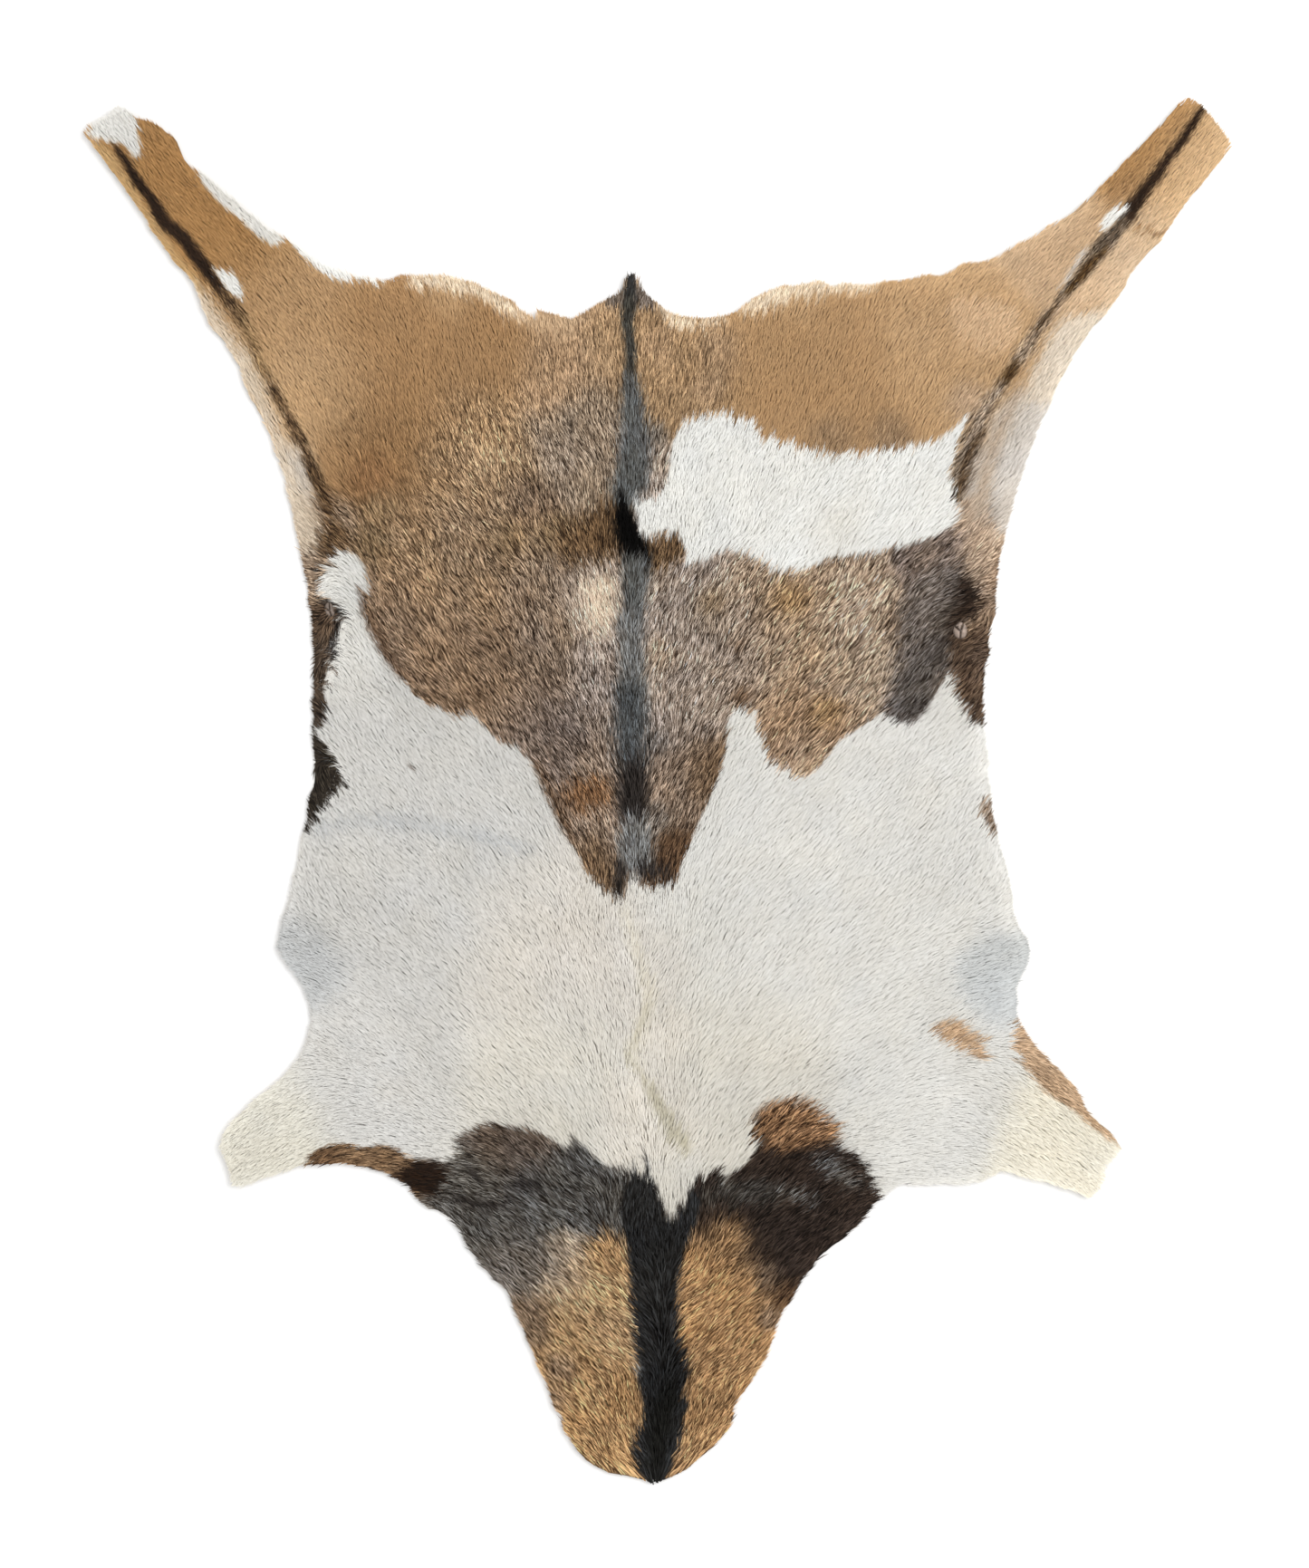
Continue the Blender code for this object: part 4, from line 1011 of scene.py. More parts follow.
def scaled(tree, vector, factor):
    """A vector or a colour times a number."""
    node = add_node(tree, "ShaderNodeVectorMath", operation="SCALE")
    wire(node, {0: vector, "Scale": factor})
    return node.outputs["Vector"]


def ranged(tree, value, **limits):
    """A value carried from one range to another: from_min, from_max, to_min and to_max."""
    ports = {key.replace("_", " ").title(): limit for key, limit in limits.items()}
    return add_node(tree, "ShaderNodeMapRange", {"Value": value, **ports}).outputs["Result"]


def attribute(tree, name, output="Color"):
    """What the surface holds under a name."""
    return add_node(tree, "ShaderNodeAttribute", attribute_name=name).outputs[output]


def noise(tree, scale, detail=2.0, distortion=0.0):
    """Noise in the object's own coordinates."""
    place = tree.nodes.get("Texture Coordinate") or add_node(tree, "ShaderNodeTexCoord")
    inputs = {"Scale": scale, "Detail": detail, "Distortion": distortion}
    return add_node(tree, "ShaderNodeTexNoise", {"Vector": place.outputs["Object"], **inputs})


def mixed(tree, share, first, second, blend_type="MIX"):
    """A mix of two colours, or the first times the second where blend_type says so."""
    node = add_node(tree, "ShaderNodeMix", data_type="RGBA", blend_type=blend_type)
    wire(node, {MIX_SHARE: share, MIX_FIRST: first, MIX_SECOND: second})
    return node.outputs[MIX_RESULT]


def bump(tree, height, strength, distance):
    inputs = {"Height": height, "Strength": strength, "Distance": distance}
    return add_node(tree, "ShaderNodeBump", inputs).outputs["Normal"]


def new_material(name):
    """A material that uses nodes, its node tree and its main shader."""
    material = bpy.data.materials.new(name)
    material.use_nodes = True
    return material, material.node_tree, material.node_tree.nodes["Principled BSDF"]


# Materials

def hair_lines_group():
    """Fine lines along each lock, from the piece's own strand map."""
    found = bpy.data.node_groups.get("hair lines")
    if found:
        return found
    tree = bpy.data.node_groups.new("hair lines", "ShaderNodeTree")
    socket(tree, "Colour", "INPUT", "NodeSocketColor", (0.8, 0.8, 0.8, 1.0))
    socket(tree, "Line strength", "INPUT", "NodeSocketFloat", 0.2, 0.0, 1.0)
    socket(tree, "Colour", "OUTPUT", "NodeSocketColor")
    socket(tree, "Lines", "OUTPUT", "NodeSocketFloat")
    into, out = add_node(tree, "NodeGroupInput"), add_node(tree, "NodeGroupOutput")
    strand = add_node(tree, "ShaderNodeUVMap", uv_map="strand")
    split = add_node(tree, "ShaderNodeSeparateXYZ", {"Vector": strand.outputs["UV"]})
    across = math_node(tree, "MULTIPLY", split.outputs["X"], LINES_ACROSS)
    place = combined(tree, X=across, Y=split.outputs["Y"], Z=attribute(tree, "number", "Fac"))
    lines = add_node(tree, "ShaderNodeTexNoise", {"Vector": place, "Scale": 1.7, "Detail": 1.0})
    strength = into.outputs["Line strength"]
    shade = ranged(
        tree, lines.outputs["Fac"], from_min=0.3, from_max=0.7,
        to_min=math_node(tree, "ADD", 1.0, strength), to_max=math_node(tree, "SUBTRACT", 1.0, strength),
    )
    wire(out, {"Colour": scaled(tree, into.outputs["Colour"], shade), "Lines": lines.outputs["Fac"]})
    return tree


def goat_hair():
    """Glossy goat hair, coloured lock by lock."""
    material, tree, shader = new_material("goat hair")
    strength, roughness = settings().line_strength, settings().hair_roughness
    uneven = attribute(tree, "uneven", "Fac")
    lines = add_node(tree, "ShaderNodeGroup", node_tree=hair_lines_group())
    wire(lines, {
        "Colour": attribute(tree, "coat"),
        "Line strength": ranged(tree, uneven, to_min=0.3 * strength, to_max=strength),
    })
    wire(shader, {
        "Base Color": lines.outputs["Colour"],
        "Roughness": ranged(tree, lines.outputs["Lines"], to_min=roughness - 0.08, to_max=roughness + 0.12),
        "Specular IOR Level": 0.08,
    })
    return material


def undercoat():
    """The short hair and skin between the roots, seen only through gaps in the coat, in the coat's colours
    with painted shade.
    """
    material, tree, shader = new_material("undercoat")
    speckle = noise(tree, 900.0).outputs["Color"]
    wire(shader, {
        "Base Color": mixed(tree, 0.5, attribute(tree, "coat"), speckle, "MULTIPLY"),
        "Roughness": 0.85,
    })
    return material


def flesh_side():
    """Tanned leather: pale and matt, with a soft mottle and a fine nap."""
    material, tree, shader = new_material("tanned flesh side")
    mottle, nap = noise(tree, 22.0, detail=5.0), noise(tree, 1100.0, detail=3.0)
    pale = np.append(srgb_to_linear(tuple(settings().flesh_colour)), 1.0)
    wire(shader, {
        "Base Color": mixed(tree, mottle.outputs["Fac"], pale, pale * (0.72, 0.68, 0.62, 1.0)),
        "Normal": bump(tree, nap.outputs["Fac"], 0.35, 0.0003),
        "Roughness": 0.8,
    })
    return material


def bare_skin():
    """The teats' bare skin: greyish pink, with painted shade in its creases."""
    material, tree, shader = new_material("bare teat skin")
    wrinkle = noise(tree, 420.0, detail=4.0, distortion=0.6).outputs["Fac"]
    # Painted shade: darker where the wrinkles' bump lies low
    tone = ranged(tree, wrinkle, from_min=0.35, from_max=0.65, to_min=0.65, to_max=1.1)
    wire(shader, {
        "Base Color": scaled(tree, attribute(tree, "coat"), tone),
        "Normal": bump(tree, wrinkle, 0.5, 0.0006),
        "Roughness": 0.55,
    })
    return material


def plain_material(name, colour, roughness):
    """A near-white surface with the faintest cloudiness."""
    material, tree, shader = new_material(name)
    dull = (*(c * 0.985 for c in colour), 1.0)
    wire(shader, {
        "Base Color": mixed(tree, noise(tree, 2.0).outputs["Fac"], (*colour, 1.0), dull),
        "Roughness": roughness,
        "Specular IOR Level": 0.1,
    })
    return material


# Skin

def standing_out(points):
    """How far the tips of the hair lie past the solid's outline there."""
    return say_of(STANDING_OUT, points) @ column(STANDING_OUT, 3)


def skin_set_back(points):
    """How far the skin's cut edge lies inside the solid's outline there, so that hair covers it."""
    return settings().edge_set_back / MM + np.maximum(-standing_out(points), 0.0)


def skin_edge(lie):
    """The skin's cut edge, a little inside the solid's rim."""
    along = np.roll(lie.rim, -1, axis=0) - np.roll(lie.rim, 1, axis=0)
    along /= np.linalg.norm(along, axis=1)[:, None]
    set_back = skin_set_back(lie.rim)
    edge = lie.rim - to_the_right(along) * set_back[:, None]
    keep = lie.read(lie.depth_inside, edge) > 0.8 * set_back
    return edge[keep]


def make_skin(lie):
    """The tanned skin: one thin closed sheet with the solid's underside."""
    edge = skin_edge(lie)
    spread = lie.staggered(SKIN_STEP)
    spread = spread[lie.read(lie.depth_inside, spread) > skin_set_back(spread) + 0.5 * SKIN_STEP]
    count = len(edge)
    border = [(i, (i + 1) % count) for i in range(count)]
    found, _, faces, sources, _, _ = delaunay_2d_cdt(
        [Vector(p) for p in np.vstack([edge, spread])], border, [], 1, 1e-4
    )
    points = np.array([tuple(p) for p in found])
    under = np.maximum(lie.read(lie.under, points) - 0.3, 0.0)
    over = under + settings().skin_thickness / MM + bumps(points, SKIN_PLEATS)
    total = len(points)
    place = {source: i for i, group in enumerate(sources) for source in group}
    walls = [(place[a], place[b]) for a, b in border]
    mesh = new_mesh(
        "skin",
        np.vstack([np.column_stack([points, over]), np.column_stack([points, under])]),
        [tuple(face) for face in faces]
        + [tuple(i + total for i in reversed(face)) for face in faces]
        + [(b, a, a + total, b + total) for a, b in walls],
    )
    hue, contrast = coat_hues(points, lie_of_hair(points), np.random.default_rng(SKIN_SEED))
    # The coat's colour, darkened: painted shade of the depth between the locks, deeper under uneven hair
    tone = srgb_to_linear(hue) * growing(UNDERCOAT_TONE, np.minimum(contrast, 1.0))[:, None]
    write_colours(mesh, np.vstack([tone, tone]))
    mesh.materials.append(undercoat())
    mesh.materials.append(flesh_side())
    for i, face in enumerate(mesh.polygons):
        face.material_index = 0 if i < len(faces) else 1
    mesh.shade_smooth()
    mesh.set_sharp_from_angle(angle=math.radians(50))
    return new_object("skin", mesh)


# Coat

def hair_roots(lie):
    """Where the locks are rooted: an uneven spread over the skin."""
    rng = np.random.default_rng(settings().seed)
    pitch = math.sqrt(2 / math.sqrt(3) * 100.0 / settings().locks_per_cm2)
    points = lie.staggered(pitch)
    points += pitch * ROOT_SCATTER * rng.standard_normal(points.shape)
    points = points[lie.read(lie.depth_inside, points) > skin_set_back(points)]
    return points[np.argsort(-points[:, 1], kind="stable")]


def trimmed(lie, points, way, length, rng):
    """Shortens the locks whose tips would reach past the hide's outline, but for a little fuzz."""
    fuzz = rng.exponential(FUZZ, len(points)) * (0.5 + length / 12.0)
    fuzz += standing_out(points)
    for _ in range(TRIM_TIMES):
        out = -lie.read(lie.depth_inside, points + way * length[:, None]) > fuzz
        length = np.where(out, TRIM_SHARE * length, length)
    return length


def stored(tree, name, kind="FLOAT"):
    """What each point holds under a name."""
    node = add_node(tree, "GeometryNodeInputNamedAttribute", {"Name": name}, data_type=kind)
    return node.outputs["Attribute"]


def store(tree, geometry, name, value):
    node = add_node(tree, "GeometryNodeStoreNamedAttribute", data_type="FLOAT", domain="POINT")
    wire(node, {"Geometry": geometry, "Name": name, "Value": value})
    return node.outputs["Geometry"]


def split_position(tree):
    position = add_node(tree, "GeometryNodeInputPosition").outputs["Position"]
    return add_node(tree, "ShaderNodeSeparateXYZ", {"Vector": position}).outputs


def blade(tree, segments):
    """One lock: a flat blade from 0 to 1 along Y, 1 wide at its root and pointed at its tip."""
    grid = add_node(tree, "GeometryNodeMeshGrid", {
        "Size X": 1.0, "Size Y": 1.0, "Vertices X": 2, "Vertices Y": math_node(tree, "ADD", segments, 1),
    })
    place = split_position(tree)
    along = math_node(tree, "ADD", place["Y"], 0.5)
    taper = math_node(tree, "SUBTRACT", 1.0, math_node(tree, "POWER", along, 3.0))
    shaped = add_node(tree, "GeometryNodeSetPosition", {
        "Geometry": store(tree, grid.outputs["Mesh"], "along", along),
        "Position": combined(tree, X=math_node(tree, "MULTIPLY", place["X"], taper), Y=along),
    })
    merged = add_node(
        tree, "GeometryNodeMergeByDistance", {"Geometry": shaped.outputs["Geometry"], "Distance": 0.0005})
    return store(tree, merged.outputs["Geometry"], "across", split_position(tree)["X"])


def lock_tree():
    """Geometry Nodes: a tapering blade on each root, turned, scaled and swayed as its root says."""
    tree = bpy.data.node_groups.new("locks of hair", "GeometryNodeTree")
    socket(tree, "Roots", "INPUT", "NodeSocketGeometry")
    socket(tree, "Width share", "INPUT", "NodeSocketFloat", 1.0, 0.1, 5.0)
    socket(tree, "Length share", "INPUT", "NodeSocketFloat", 1.0, 0.1, 5.0)
    socket(tree, "Segments", "INPUT", "NodeSocketInt", LOCK_SEGMENTS, 1, 8)
    socket(tree, "Unevenness", "INPUT", "NodeSocketFloat", LOCK_UNEVENNESS, 0.0, 1.0)
    socket(tree, "Seed", "INPUT", "NodeSocketInt", 7)
    socket(tree, "Hair", "INPUT", "NodeSocketMaterial")
    socket(tree, "Coat", "OUTPUT", "NodeSocketGeometry")
    into, out = add_node(tree, "NodeGroupInput").outputs, add_node(tree, "NodeGroupOutput")

    turn = add_node(tree, "FunctionNodeEulerToRotation", {"Euler": combined(tree, Z=stored(tree, "turn"))})
    uneven = add_node(tree, "FunctionNodeRandomValue", {"Seed": into["Seed"]}, data_type="FLOAT")
    low, high = (port for port in uneven.inputs if port.type == "VALUE" and port.name in ("Min", "Max"))
    tree.links.new(math_node(tree, "SUBTRACT", 1.0, into["Unevenness"]), low)
    tree.links.new(math_node(tree, "ADD", 1.0, into["Unevenness"]), high)
    drawn = next(port for port in uneven.outputs if port.type == "VALUE" and port.enabled)
    width = math_node(tree, "MULTIPLY", stored(tree, "width"), into["Width share"])
    length = math_node(tree, "MULTIPLY", stored(tree, "length"), into["Length share"])
    planted = add_node(tree, "GeometryNodeInstanceOnPoints", {
        "Points": into["Roots"],
        "Instance": blade(tree, into["Segments"]),
        "Rotation": turn.outputs["Rotation"],
        "Scale": combined(tree, X=math_node(tree, "MULTIPLY", width, drawn), Y=length, Z=1.0),
    })
    real = add_node(tree, "GeometryNodeRealizeInstances", {"Geometry": planted.outputs["Instances"]})
    bend = math_node(tree, "POWER", stored(tree, "along"), 2.0)
    swayed = add_node(tree, "GeometryNodeSetPosition", {
        "Geometry": real.outputs["Geometry"],
        "Offset": scaled(tree, stored(tree, "sway", "FLOAT_VECTOR"), bend),
    })
    painted = add_node(
        tree, "GeometryNodeSetMaterial", {"Geometry": swayed.outputs["Geometry"], "Material": into["Hair"]})
    wire(out, {"Coat": painted.outputs["Geometry"]})
    return tree


def grow(name, locks, tree, material):
    """Runs the tree over the roots and returns its result as a plain mesh object, in flat blades."""
    count = len(locks["root"])
    roots = new_mesh(name + "_roots", np.column_stack([locks["root"], np.zeros(count)]), [])
    write_layer(roots, "turn", locks["turn"])
    write_layer(roots, "length", locks["length"] * MM)
    write_layer(roots, "width", locks["width"] * MM)
    write_layer(roots, "number", np.arange(count))
    write_layer(roots, "sway", np.column_stack([locks["sway"], np.zeros(count)]) * MM)
    carrier = new_object(name + "_roots", roots)
    modifier = carrier.modifiers.new("locks", "NODES")
    modifier.node_group = tree
    values = {
        "Width share": settings().width_share,
        "Length share": settings().length_share,
        "Segments": LOCK_SEGMENTS,
        "Unevenness": LOCK_UNEVENNESS,
        "Seed": settings().seed,
        "Hair": material,
    }
    for item in tree.interface.items_tree:
        if item.item_type == "SOCKET" and item.in_out == "INPUT" and item.name in values:
            modifier[item.identifier] = values[item.name]
    depsgraph = bpy.context.evaluated_depsgraph_get()
    mesh = bpy.data.meshes.new_from_object(carrier.evaluated_get(depsgraph), depsgraph=depsgraph)
    bpy.data.objects.remove(carrier)
    mesh.name = name
    return new_object(name, mesh)


def lay_down(mesh, lie, locks, along, across, number):
    """Lifts each blade off the skin and lays it into the coat, its tip near the top of the coat."""
    corners = read_corners(mesh).astype(float) / MM
    ground = lie.read(lie.under, corners[:, :2]) + settings().skin_thickness / MM + OVER_SKIN
    depth = np.maximum(lie.read(lie.top, corners[:, :2]), ground + LEAST_DEPTH) - ground
    lift = (1.0 - (1.0 - along) ** RISE_CURVE) * locks["rise"][number]
    corners[:, 2] = ground + depth * lift - ROOT_DEPTH * (along == 0)
    tilt = np.tan(locks["roll"][number])
    corners[:, 2] += across * locks["width"][number] * tilt * (0.3 + 0.7 * along)
    mesh.vertices.foreach_set("co", (corners * MM).astype(np.float32).ravel())
    mesh.update()


def map_strands(mesh, along, across):
    """Two maps: the hair's own, across and along each lock, and a plan of the whole piece to bake into."""
    corner_of = np.zeros(len(mesh.loops), np.int32)
    mesh.loops.foreach_get("vertex_index", corner_of)
    flat = read_corners(mesh)[:, :2]
    low, high = flat.min(axis=0), flat.max(axis=0)
    plan = 0.01 + 0.98 * (flat - low) / (high - low).max()
    for old in [layer.name for layer in mesh.uv_layers]:
        mesh.uv_layers.remove(mesh.uv_layers[old])
    for name, values in (("OFBake", plan), ("strand", np.column_stack([across + 0.5, along]))):
        layer = mesh.uv_layers.new(name=name)
        layer.data.foreach_set("uv", values[corner_of].astype(np.float32).ravel())


def plan_locks(lie):
    """What each lock of the coat is like, from the haunches to the neck: one array for each quality."""
    rng = np.random.default_rng(settings().seed + 1)
    points = hair_roots(lie)
    count = len(points)
    lie_way = lie_of_hair(points)
    length, width, bunching = hair_sizes(points)
    lean = bunching * bumps(points, LEAN_WAVES)
    lean += growing(LEAN_CHANCE, bunching) * rng.standard_normal(count)
    way = lie_way + to_the_right(lie_way) * lean[:, None]
    way /= np.linalg.norm(way, axis=1)[:, None]
    streak = streaks(points, lie_way, *SHADE_STREAKS)
    tuft = streaks(points, lie_way, *TUFT_STREAKS)
    length = length * growing(LENGTH_CHANCE, rng.random(count)) * (1.0 + STREAK_LENGTH * streak)
    length = trimmed(lie, points, way, length, rng)
    sway = to_the_right(way) * (length * SWAY_SHARE * rng.standard_normal(count))[:, None]
    showing = SHOWING + SHOWING_TUFT * tuft + SHOWING_CHANCE * (rng.random(count) - 0.5)
    shown = points + way * (length * np.clip(showing, *SHOWING_RANGE))[:, None]
    hue, contrast = coat_hues(shown, lie_way, rng)
    colours = srgb_to_linear(single_locks(clouded(hue, contrast, shown), contrast, streak, rng))
    uneven = np.minimum(contrast, 1.0)
    rise = RISE + growing(RISE_CHANCE, uneven) * rng.random(count) + STREAK_RISE * uneven * streak
    roll = np.radians(settings().roll) * growing(ROLL_BY_KIND, uneven) * rng.standard_normal(count)
    return {
        "root": points,
        "turn": np.arctan2(way[:, 1], way[:, 0]) - math.pi / 2,
        "length": length,
        "width": width * growing(WIDTH_BY_KIND, uneven),
        "sway": sway,
        "rise": rise * smooth_step(length / SHORT_HAIR),
        "roll": np.clip(roll, -ROLL_LIMIT, ROLL_LIMIT),
        "colour": colours,
        "contrast": contrast,
        "uneven": uneven,
    }


def make_coat(lie):
    """Five pieces of coat, from the haunches to the neck."""
    locks = plan_locks(lie)
    material, tree = goat_hair(), lock_tree()
    pieces = []
    for name, part in zip(COAT_PARTS, np.array_split(np.arange(len(locks["root"])), len(COAT_PARTS))):
        own = {quality: values[part] for quality, values in locks.items()}
        obj = grow(name, own, tree, material)
        mesh = obj.data
        along, across = read_layer(mesh, "along"), read_layer(mesh, "across")
        number = read_layer(mesh, "number").round().astype(int)
        lay_down(mesh, lie, own, along, across, number)
        write_colours(mesh, along_lock(own["colour"][number], own["contrast"][number], along))
        write_layer(mesh, "uneven", own["uneven"][number])
        map_strands(mesh, along, across)
        mesh.shade_smooth()
        pieces.append(obj)
    bpy.data.node_groups.remove(tree)
    return pieces


# Teats

def make_teat(name, lie, row):
    """A small nub with lobes round a forked cleft, set into the coat."""
    x, y, half_length, half_width, height, heading, light = row
    turn = math.radians(-heading)
    base = float(lie.read(lie.top, np.array([[x, y]]))[0]) - height
    rings, around = TEAT_RINGS, TEAT_AROUND
    share = np.repeat(np.arange(rings - 1) / (rings - 1), around)
    angle = np.tile(2 * math.pi * np.arange(around) / around, rings - 1)
    reach = np.cos(share * math.pi / 2) ** 0.75
    spot = np.stack([reach * np.cos(angle), reach * np.sin(angle)], axis=1)
    spot = np.vstack([spot, [[0.0, 0.0]]])
    lift = np.append(np.sin(share * math.pi / 2) ** 0.8, 1.0)
    cleft = np.zeros(len(spot))
    for arm in TEAT_CLEFT:
        gap = nearest_on(np.array(arm), spot, closed=False)[0]
        cleft = np.maximum(cleft, np.exp(-((gap / CLEFT_WIDTH) ** 2)))
    cleft *= smooth_step(1.6 * lift)
    lumps = bumps(spot + 7.3, TEAT_LUMPS)
    swell = 1.0 + bumps(spot * 0.9 + 3.1, TEAT_SWELLS)
    u, v = half_width * spot[:, 0] * swell, half_length * spot[:, 1] * swell
    corners = np.column_stack([
        x + u * math.cos(turn) - v * math.sin(turn),
        y + u * math.sin(turn) + v * math.cos(turn),
        base + height * (lift * (1.0 + lumps) / 1.12 - CLEFT_DEPTH * cleft),
    ])
    faces = []
    for ring in range(rings - 2):
        for k in range(around):
            p, q = ring * around + k, ring * around + (k + 1) % around
            faces.append((p, q, q + around, p + around))
    peak, last = len(corners) - 1, (rings - 2) * around
    faces += [(last + k, last + (k + 1) % around, peak) for k in range(around)]
    faces.append(tuple(reversed(range(around))))
    mesh = new_mesh(name, corners, faces)
    skin = light * srgb_to_linear(tuple(settings().teat_colour))
    # Painted shade: darker towards the teat's foot and in its cleft; painted light and shade: lighter on the
    # lumps, darker between them
    tone = (0.30 + 0.70 * smooth_step(1.3 * lift)) * (1.0 - 0.75 * cleft) * (1.0 + 1.5 * lumps)
    write_colours(mesh, tone[:, None] * skin)
    mesh.materials.append(bpy.data.materials.get("bare teat skin") or bare_skin())
    mesh.shade_smooth()
    mesh.set_sharp_from_angle(angle=math.radians(60))
    return new_object(name, mesh)


# Stage

def add_lamp(name, place, size, power):
    """A round area light that shines on the middle of the hide."""
    light = bpy.data.lights.new(name, "AREA")
    light.shape = "DISK"
    light.size = size
    light.energy = power
    obj = new_object(name, light)
    obj.location = place
    obj.rotation_euler = (-Vector(place)).to_track_quat("-Z", "Y").to_euler()


def make_stage():
    mesh = bpy.data.meshes.new("floor")
    half = FLOOR_HALF
    corners = [(-half, -half), (half, -half), (half, half), (-half, half)]
    mesh.from_pydata([(x, y, -FLOOR_BELOW) for x, y in corners], [], [(0, 1, 2, 3)])
    mesh.materials.append(plain_material("pale floor", tuple(settings().floor_colour), 0.9))
    floor = new_object("floor", mesh)

    for name, (place, size, power) in LAMPS.items():
        add_lamp(name, place, size, getattr(settings(), power))

    world = bpy.data.worlds.new("studio")
    world.use_nodes = True
    background = world.node_tree.nodes["Background"]
    wire(background, {"Color": (1.0, 1.0, 1.0, 1.0), "Strength": settings().room_light})
    bpy.context.scene.world = world

    lens = bpy.data.cameras.new("camera")
    lens.sensor_width = 36.0
    lens.sensor_fit = "AUTO"
    distance = settings().camera_height
    lens.lens = lens.sensor_width * distance / VIEW_HEIGHT
    lens.clip_end = 50.0
    camera = new_object("camera", lens)
    camera.location = (*VIEW_MIDDLE, distance)
    bpy.context.scene.camera = camera
    bpy.context.scene.view_settings.view_transform = "Standard"


# Settings, operators and panel

def a_number(name, description, default, low, high, **more):
    return FloatProperty(name=name, description=description, default=default, min=low, max=high, **more)


def a_share(*row):
    return a_number(*row, subtype="FACTOR")


def a_length(*row):
    return a_number(*row, unit="LENGTH")


def a_colour(name, description, default, subtype="COLOR_GAMMA"):
    return FloatVectorProperty(
        name=name, description=description, default=default, size=3, min=0.0, max=1.0, subtype=subtype)


class GoatskinSettings(PropertyGroup):
    """Sizes, colours and light of the goatskin."""

    __annotations__ = {
        "skin_thickness": a_length(
            "Skin thickness", "Thickness of the tanned skin without its hair", 0.0012, 0.0005, 0.004),
        "edge_set_back": a_length(
            "Edge set back", "How far the skin's cut edge lies inside the outline of the hair",
            0.0010, 0.0, 0.01),
        "locks_per_cm2": a_number(
            "Locks per square centimetre", "How thickly the coat grows", 75.0, 5.0, 150.0),
        "width_share": a_share("Lock width", "Width of the locks, as a share of the usual", 1.0, 0.2, 3.0),
        "length_share": a_share("Hair length", "Length of the hair, as a share of the usual", 1.0, 0.2, 2.0),
        "roll": a_number("Roll", "How far locks turn about their own length, in degrees", 22.0, 0.0, 60.0),
        "line_strength": a_share("Hair lines", "Strength of the fine lines in each lock", 0.10, 0.0, 1.0),
        "hair_roughness": a_share("Hair roughness", "How matt the hair is", 0.52, 0.1, 0.85),
        "flesh_colour": a_colour("Flesh side", "Colour of the tanned flesh side", (0.86, 0.80, 0.70)),
        "teat_colour": a_colour("Teats", "Colour of the teats' bare skin", (0.62, 0.55, 0.50)),
        "floor_colour": a_colour("Floor", "Colour of the floor", (0.93, 0.93, 0.93), "COLOR"),
        "room_light": a_number("Room light", "Strength of the light from all round", 0.75, 0.0, 5.0),
        "key_power": a_number("Key light", "Power of the main lamp, in watts", 80.0, 0.0, 1000.0),
        "fill_power": a_number("Fill light", "Power of the fill lamp, in watts", 15.0, 0.0, 1000.0),
        "camera_height": a_length("Camera height", "Height of the camera above the floor", 3.2, 1.0, 10.0),
        "seed": IntProperty(
            name="Seed", description="Starts the random draws of the coat", default=7, min=0, max=9999),
        **{
            colour_key(name): a_colour(
                name.capitalize(), "Colour of the " + name + " hair", tuple(step / 255 for step in row[:3]))
            for name, row in HAIRS.items()
        },
    }


made = {}


def the_lie():
    """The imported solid's rim and heights, measured once."""
    if "lie" not in made:
        made["lie"] = Lie(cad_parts[NODE])
    return made["lie"]


class GOATSKIN_OT_skin(Operator):
    """Make the tanned skin under the coat"""

    bl_idname = "goatskin.skin"
    bl_label = "Make the skin"

    def execute(self, context):
        skin = make_skin(the_lie())
        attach(skin, BODY)
        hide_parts(NODE)
        made["skin"] = skin
        return {"FINISHED"}


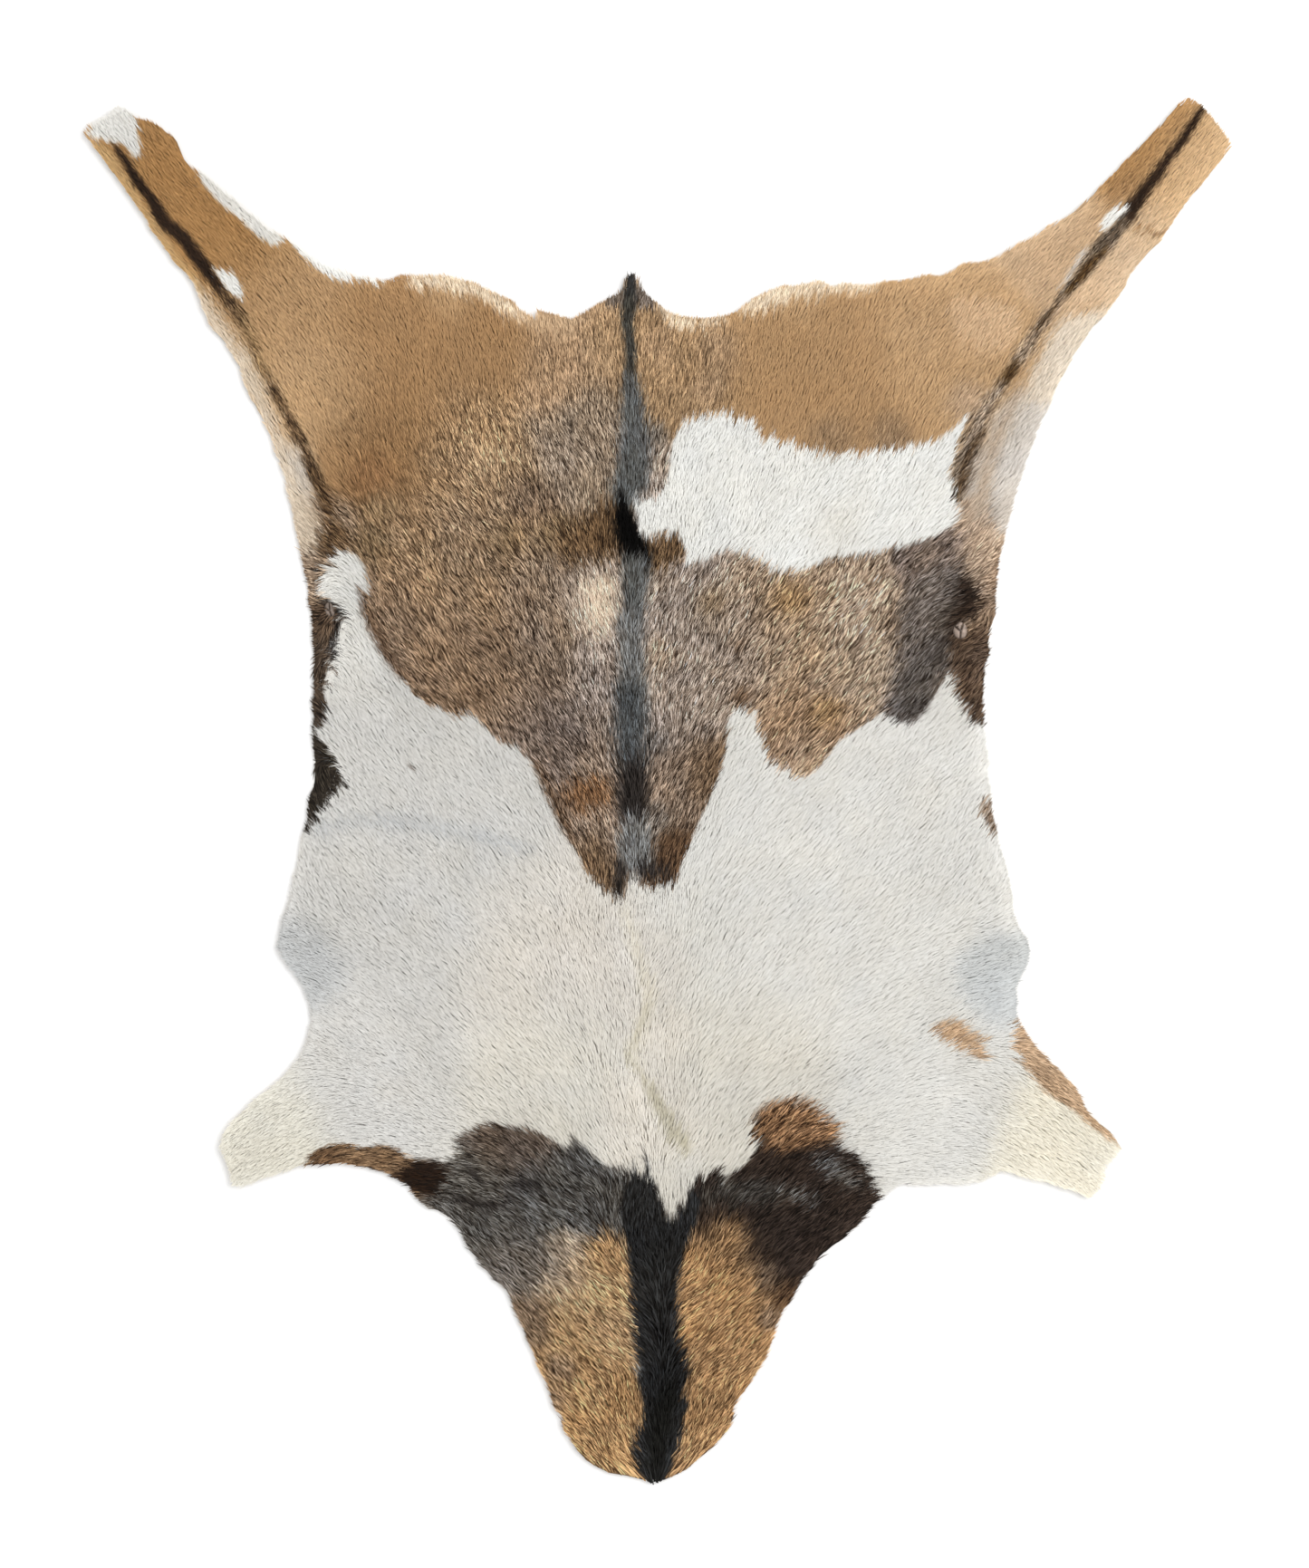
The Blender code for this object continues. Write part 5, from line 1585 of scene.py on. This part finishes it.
class GOATSKIN_OT_coat(Operator):
    """Grow the coat of hair on the skin"""

    bl_idname = "goatskin.coat"
    bl_label = "Grow the coat"

    def execute(self, context):
        made["coat"] = make_coat(the_lie())
        for piece in made["coat"]:
            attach(piece, BODY)
        return {"FINISHED"}


class GOATSKIN_OT_teats(Operator):
    """Make the two bare teats"""

    bl_idname = "goatskin.teats"
    bl_label = "Make the teats"

    def execute(self, context):
        made["teats"] = [make_teat(name, the_lie(), row) for name, row in TEATS.items()]
        for piece in made["teats"]:
            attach(piece, BODY)
        return {"FINISHED"}


class GOATSKIN_OT_declare(Operator):
    bl_idname = "goatskin.declare"
    bl_label = "Declare the sheet"

    def execute(self, context):
        return {"FINISHED"}


class GOATSKIN_OT_stage(Operator):
    """Set up the floor, the light and the camera"""

    bl_idname = "goatskin.stage"
    bl_label = "Set the stage"

    def execute(self, context):
        make_stage()
        return {"FINISHED"}


OPERATORS = (GOATSKIN_OT_skin, GOATSKIN_OT_coat, GOATSKIN_OT_teats, GOATSKIN_OT_declare, GOATSKIN_OT_stage)


class GOATSKIN_PT_panel(Panel):
    """Lists the goatskin's pieces and settings"""

    bl_idname = "GOATSKIN_PT_panel"
    bl_label = "Goatskin"
    bl_space_type = "VIEW_3D"
    bl_region_type = "UI"
    bl_category = "Goatskin"

    def draw(self, context):
        for operator in OPERATORS:
            self.layout.operator(operator.bl_idname)
        for key in GoatskinSettings.__annotations__:
            self.layout.prop(context.scene.goatskin, key)


CLASSES = (GoatskinSettings, *OPERATORS, GOATSKIN_PT_panel)


def register():
    for cls in CLASSES:
        bpy.utils.register_class(cls)
    bpy.types.Scene.goatskin = PointerProperty(type=GoatskinSettings)


def unregister():
    del bpy.types.Scene.goatskin
    for cls in reversed(CLASSES):
        bpy.utils.unregister_class(cls)


def main():
    register()
    bpy.ops.goatskin.skin()
    bpy.ops.goatskin.coat()
    bpy.ops.goatskin.teats()
    bpy.ops.goatskin.declare()
    bpy.ops.goatskin.stage()
    bpy.context.view_layer.update()


if __name__ == "__main__":
    main()
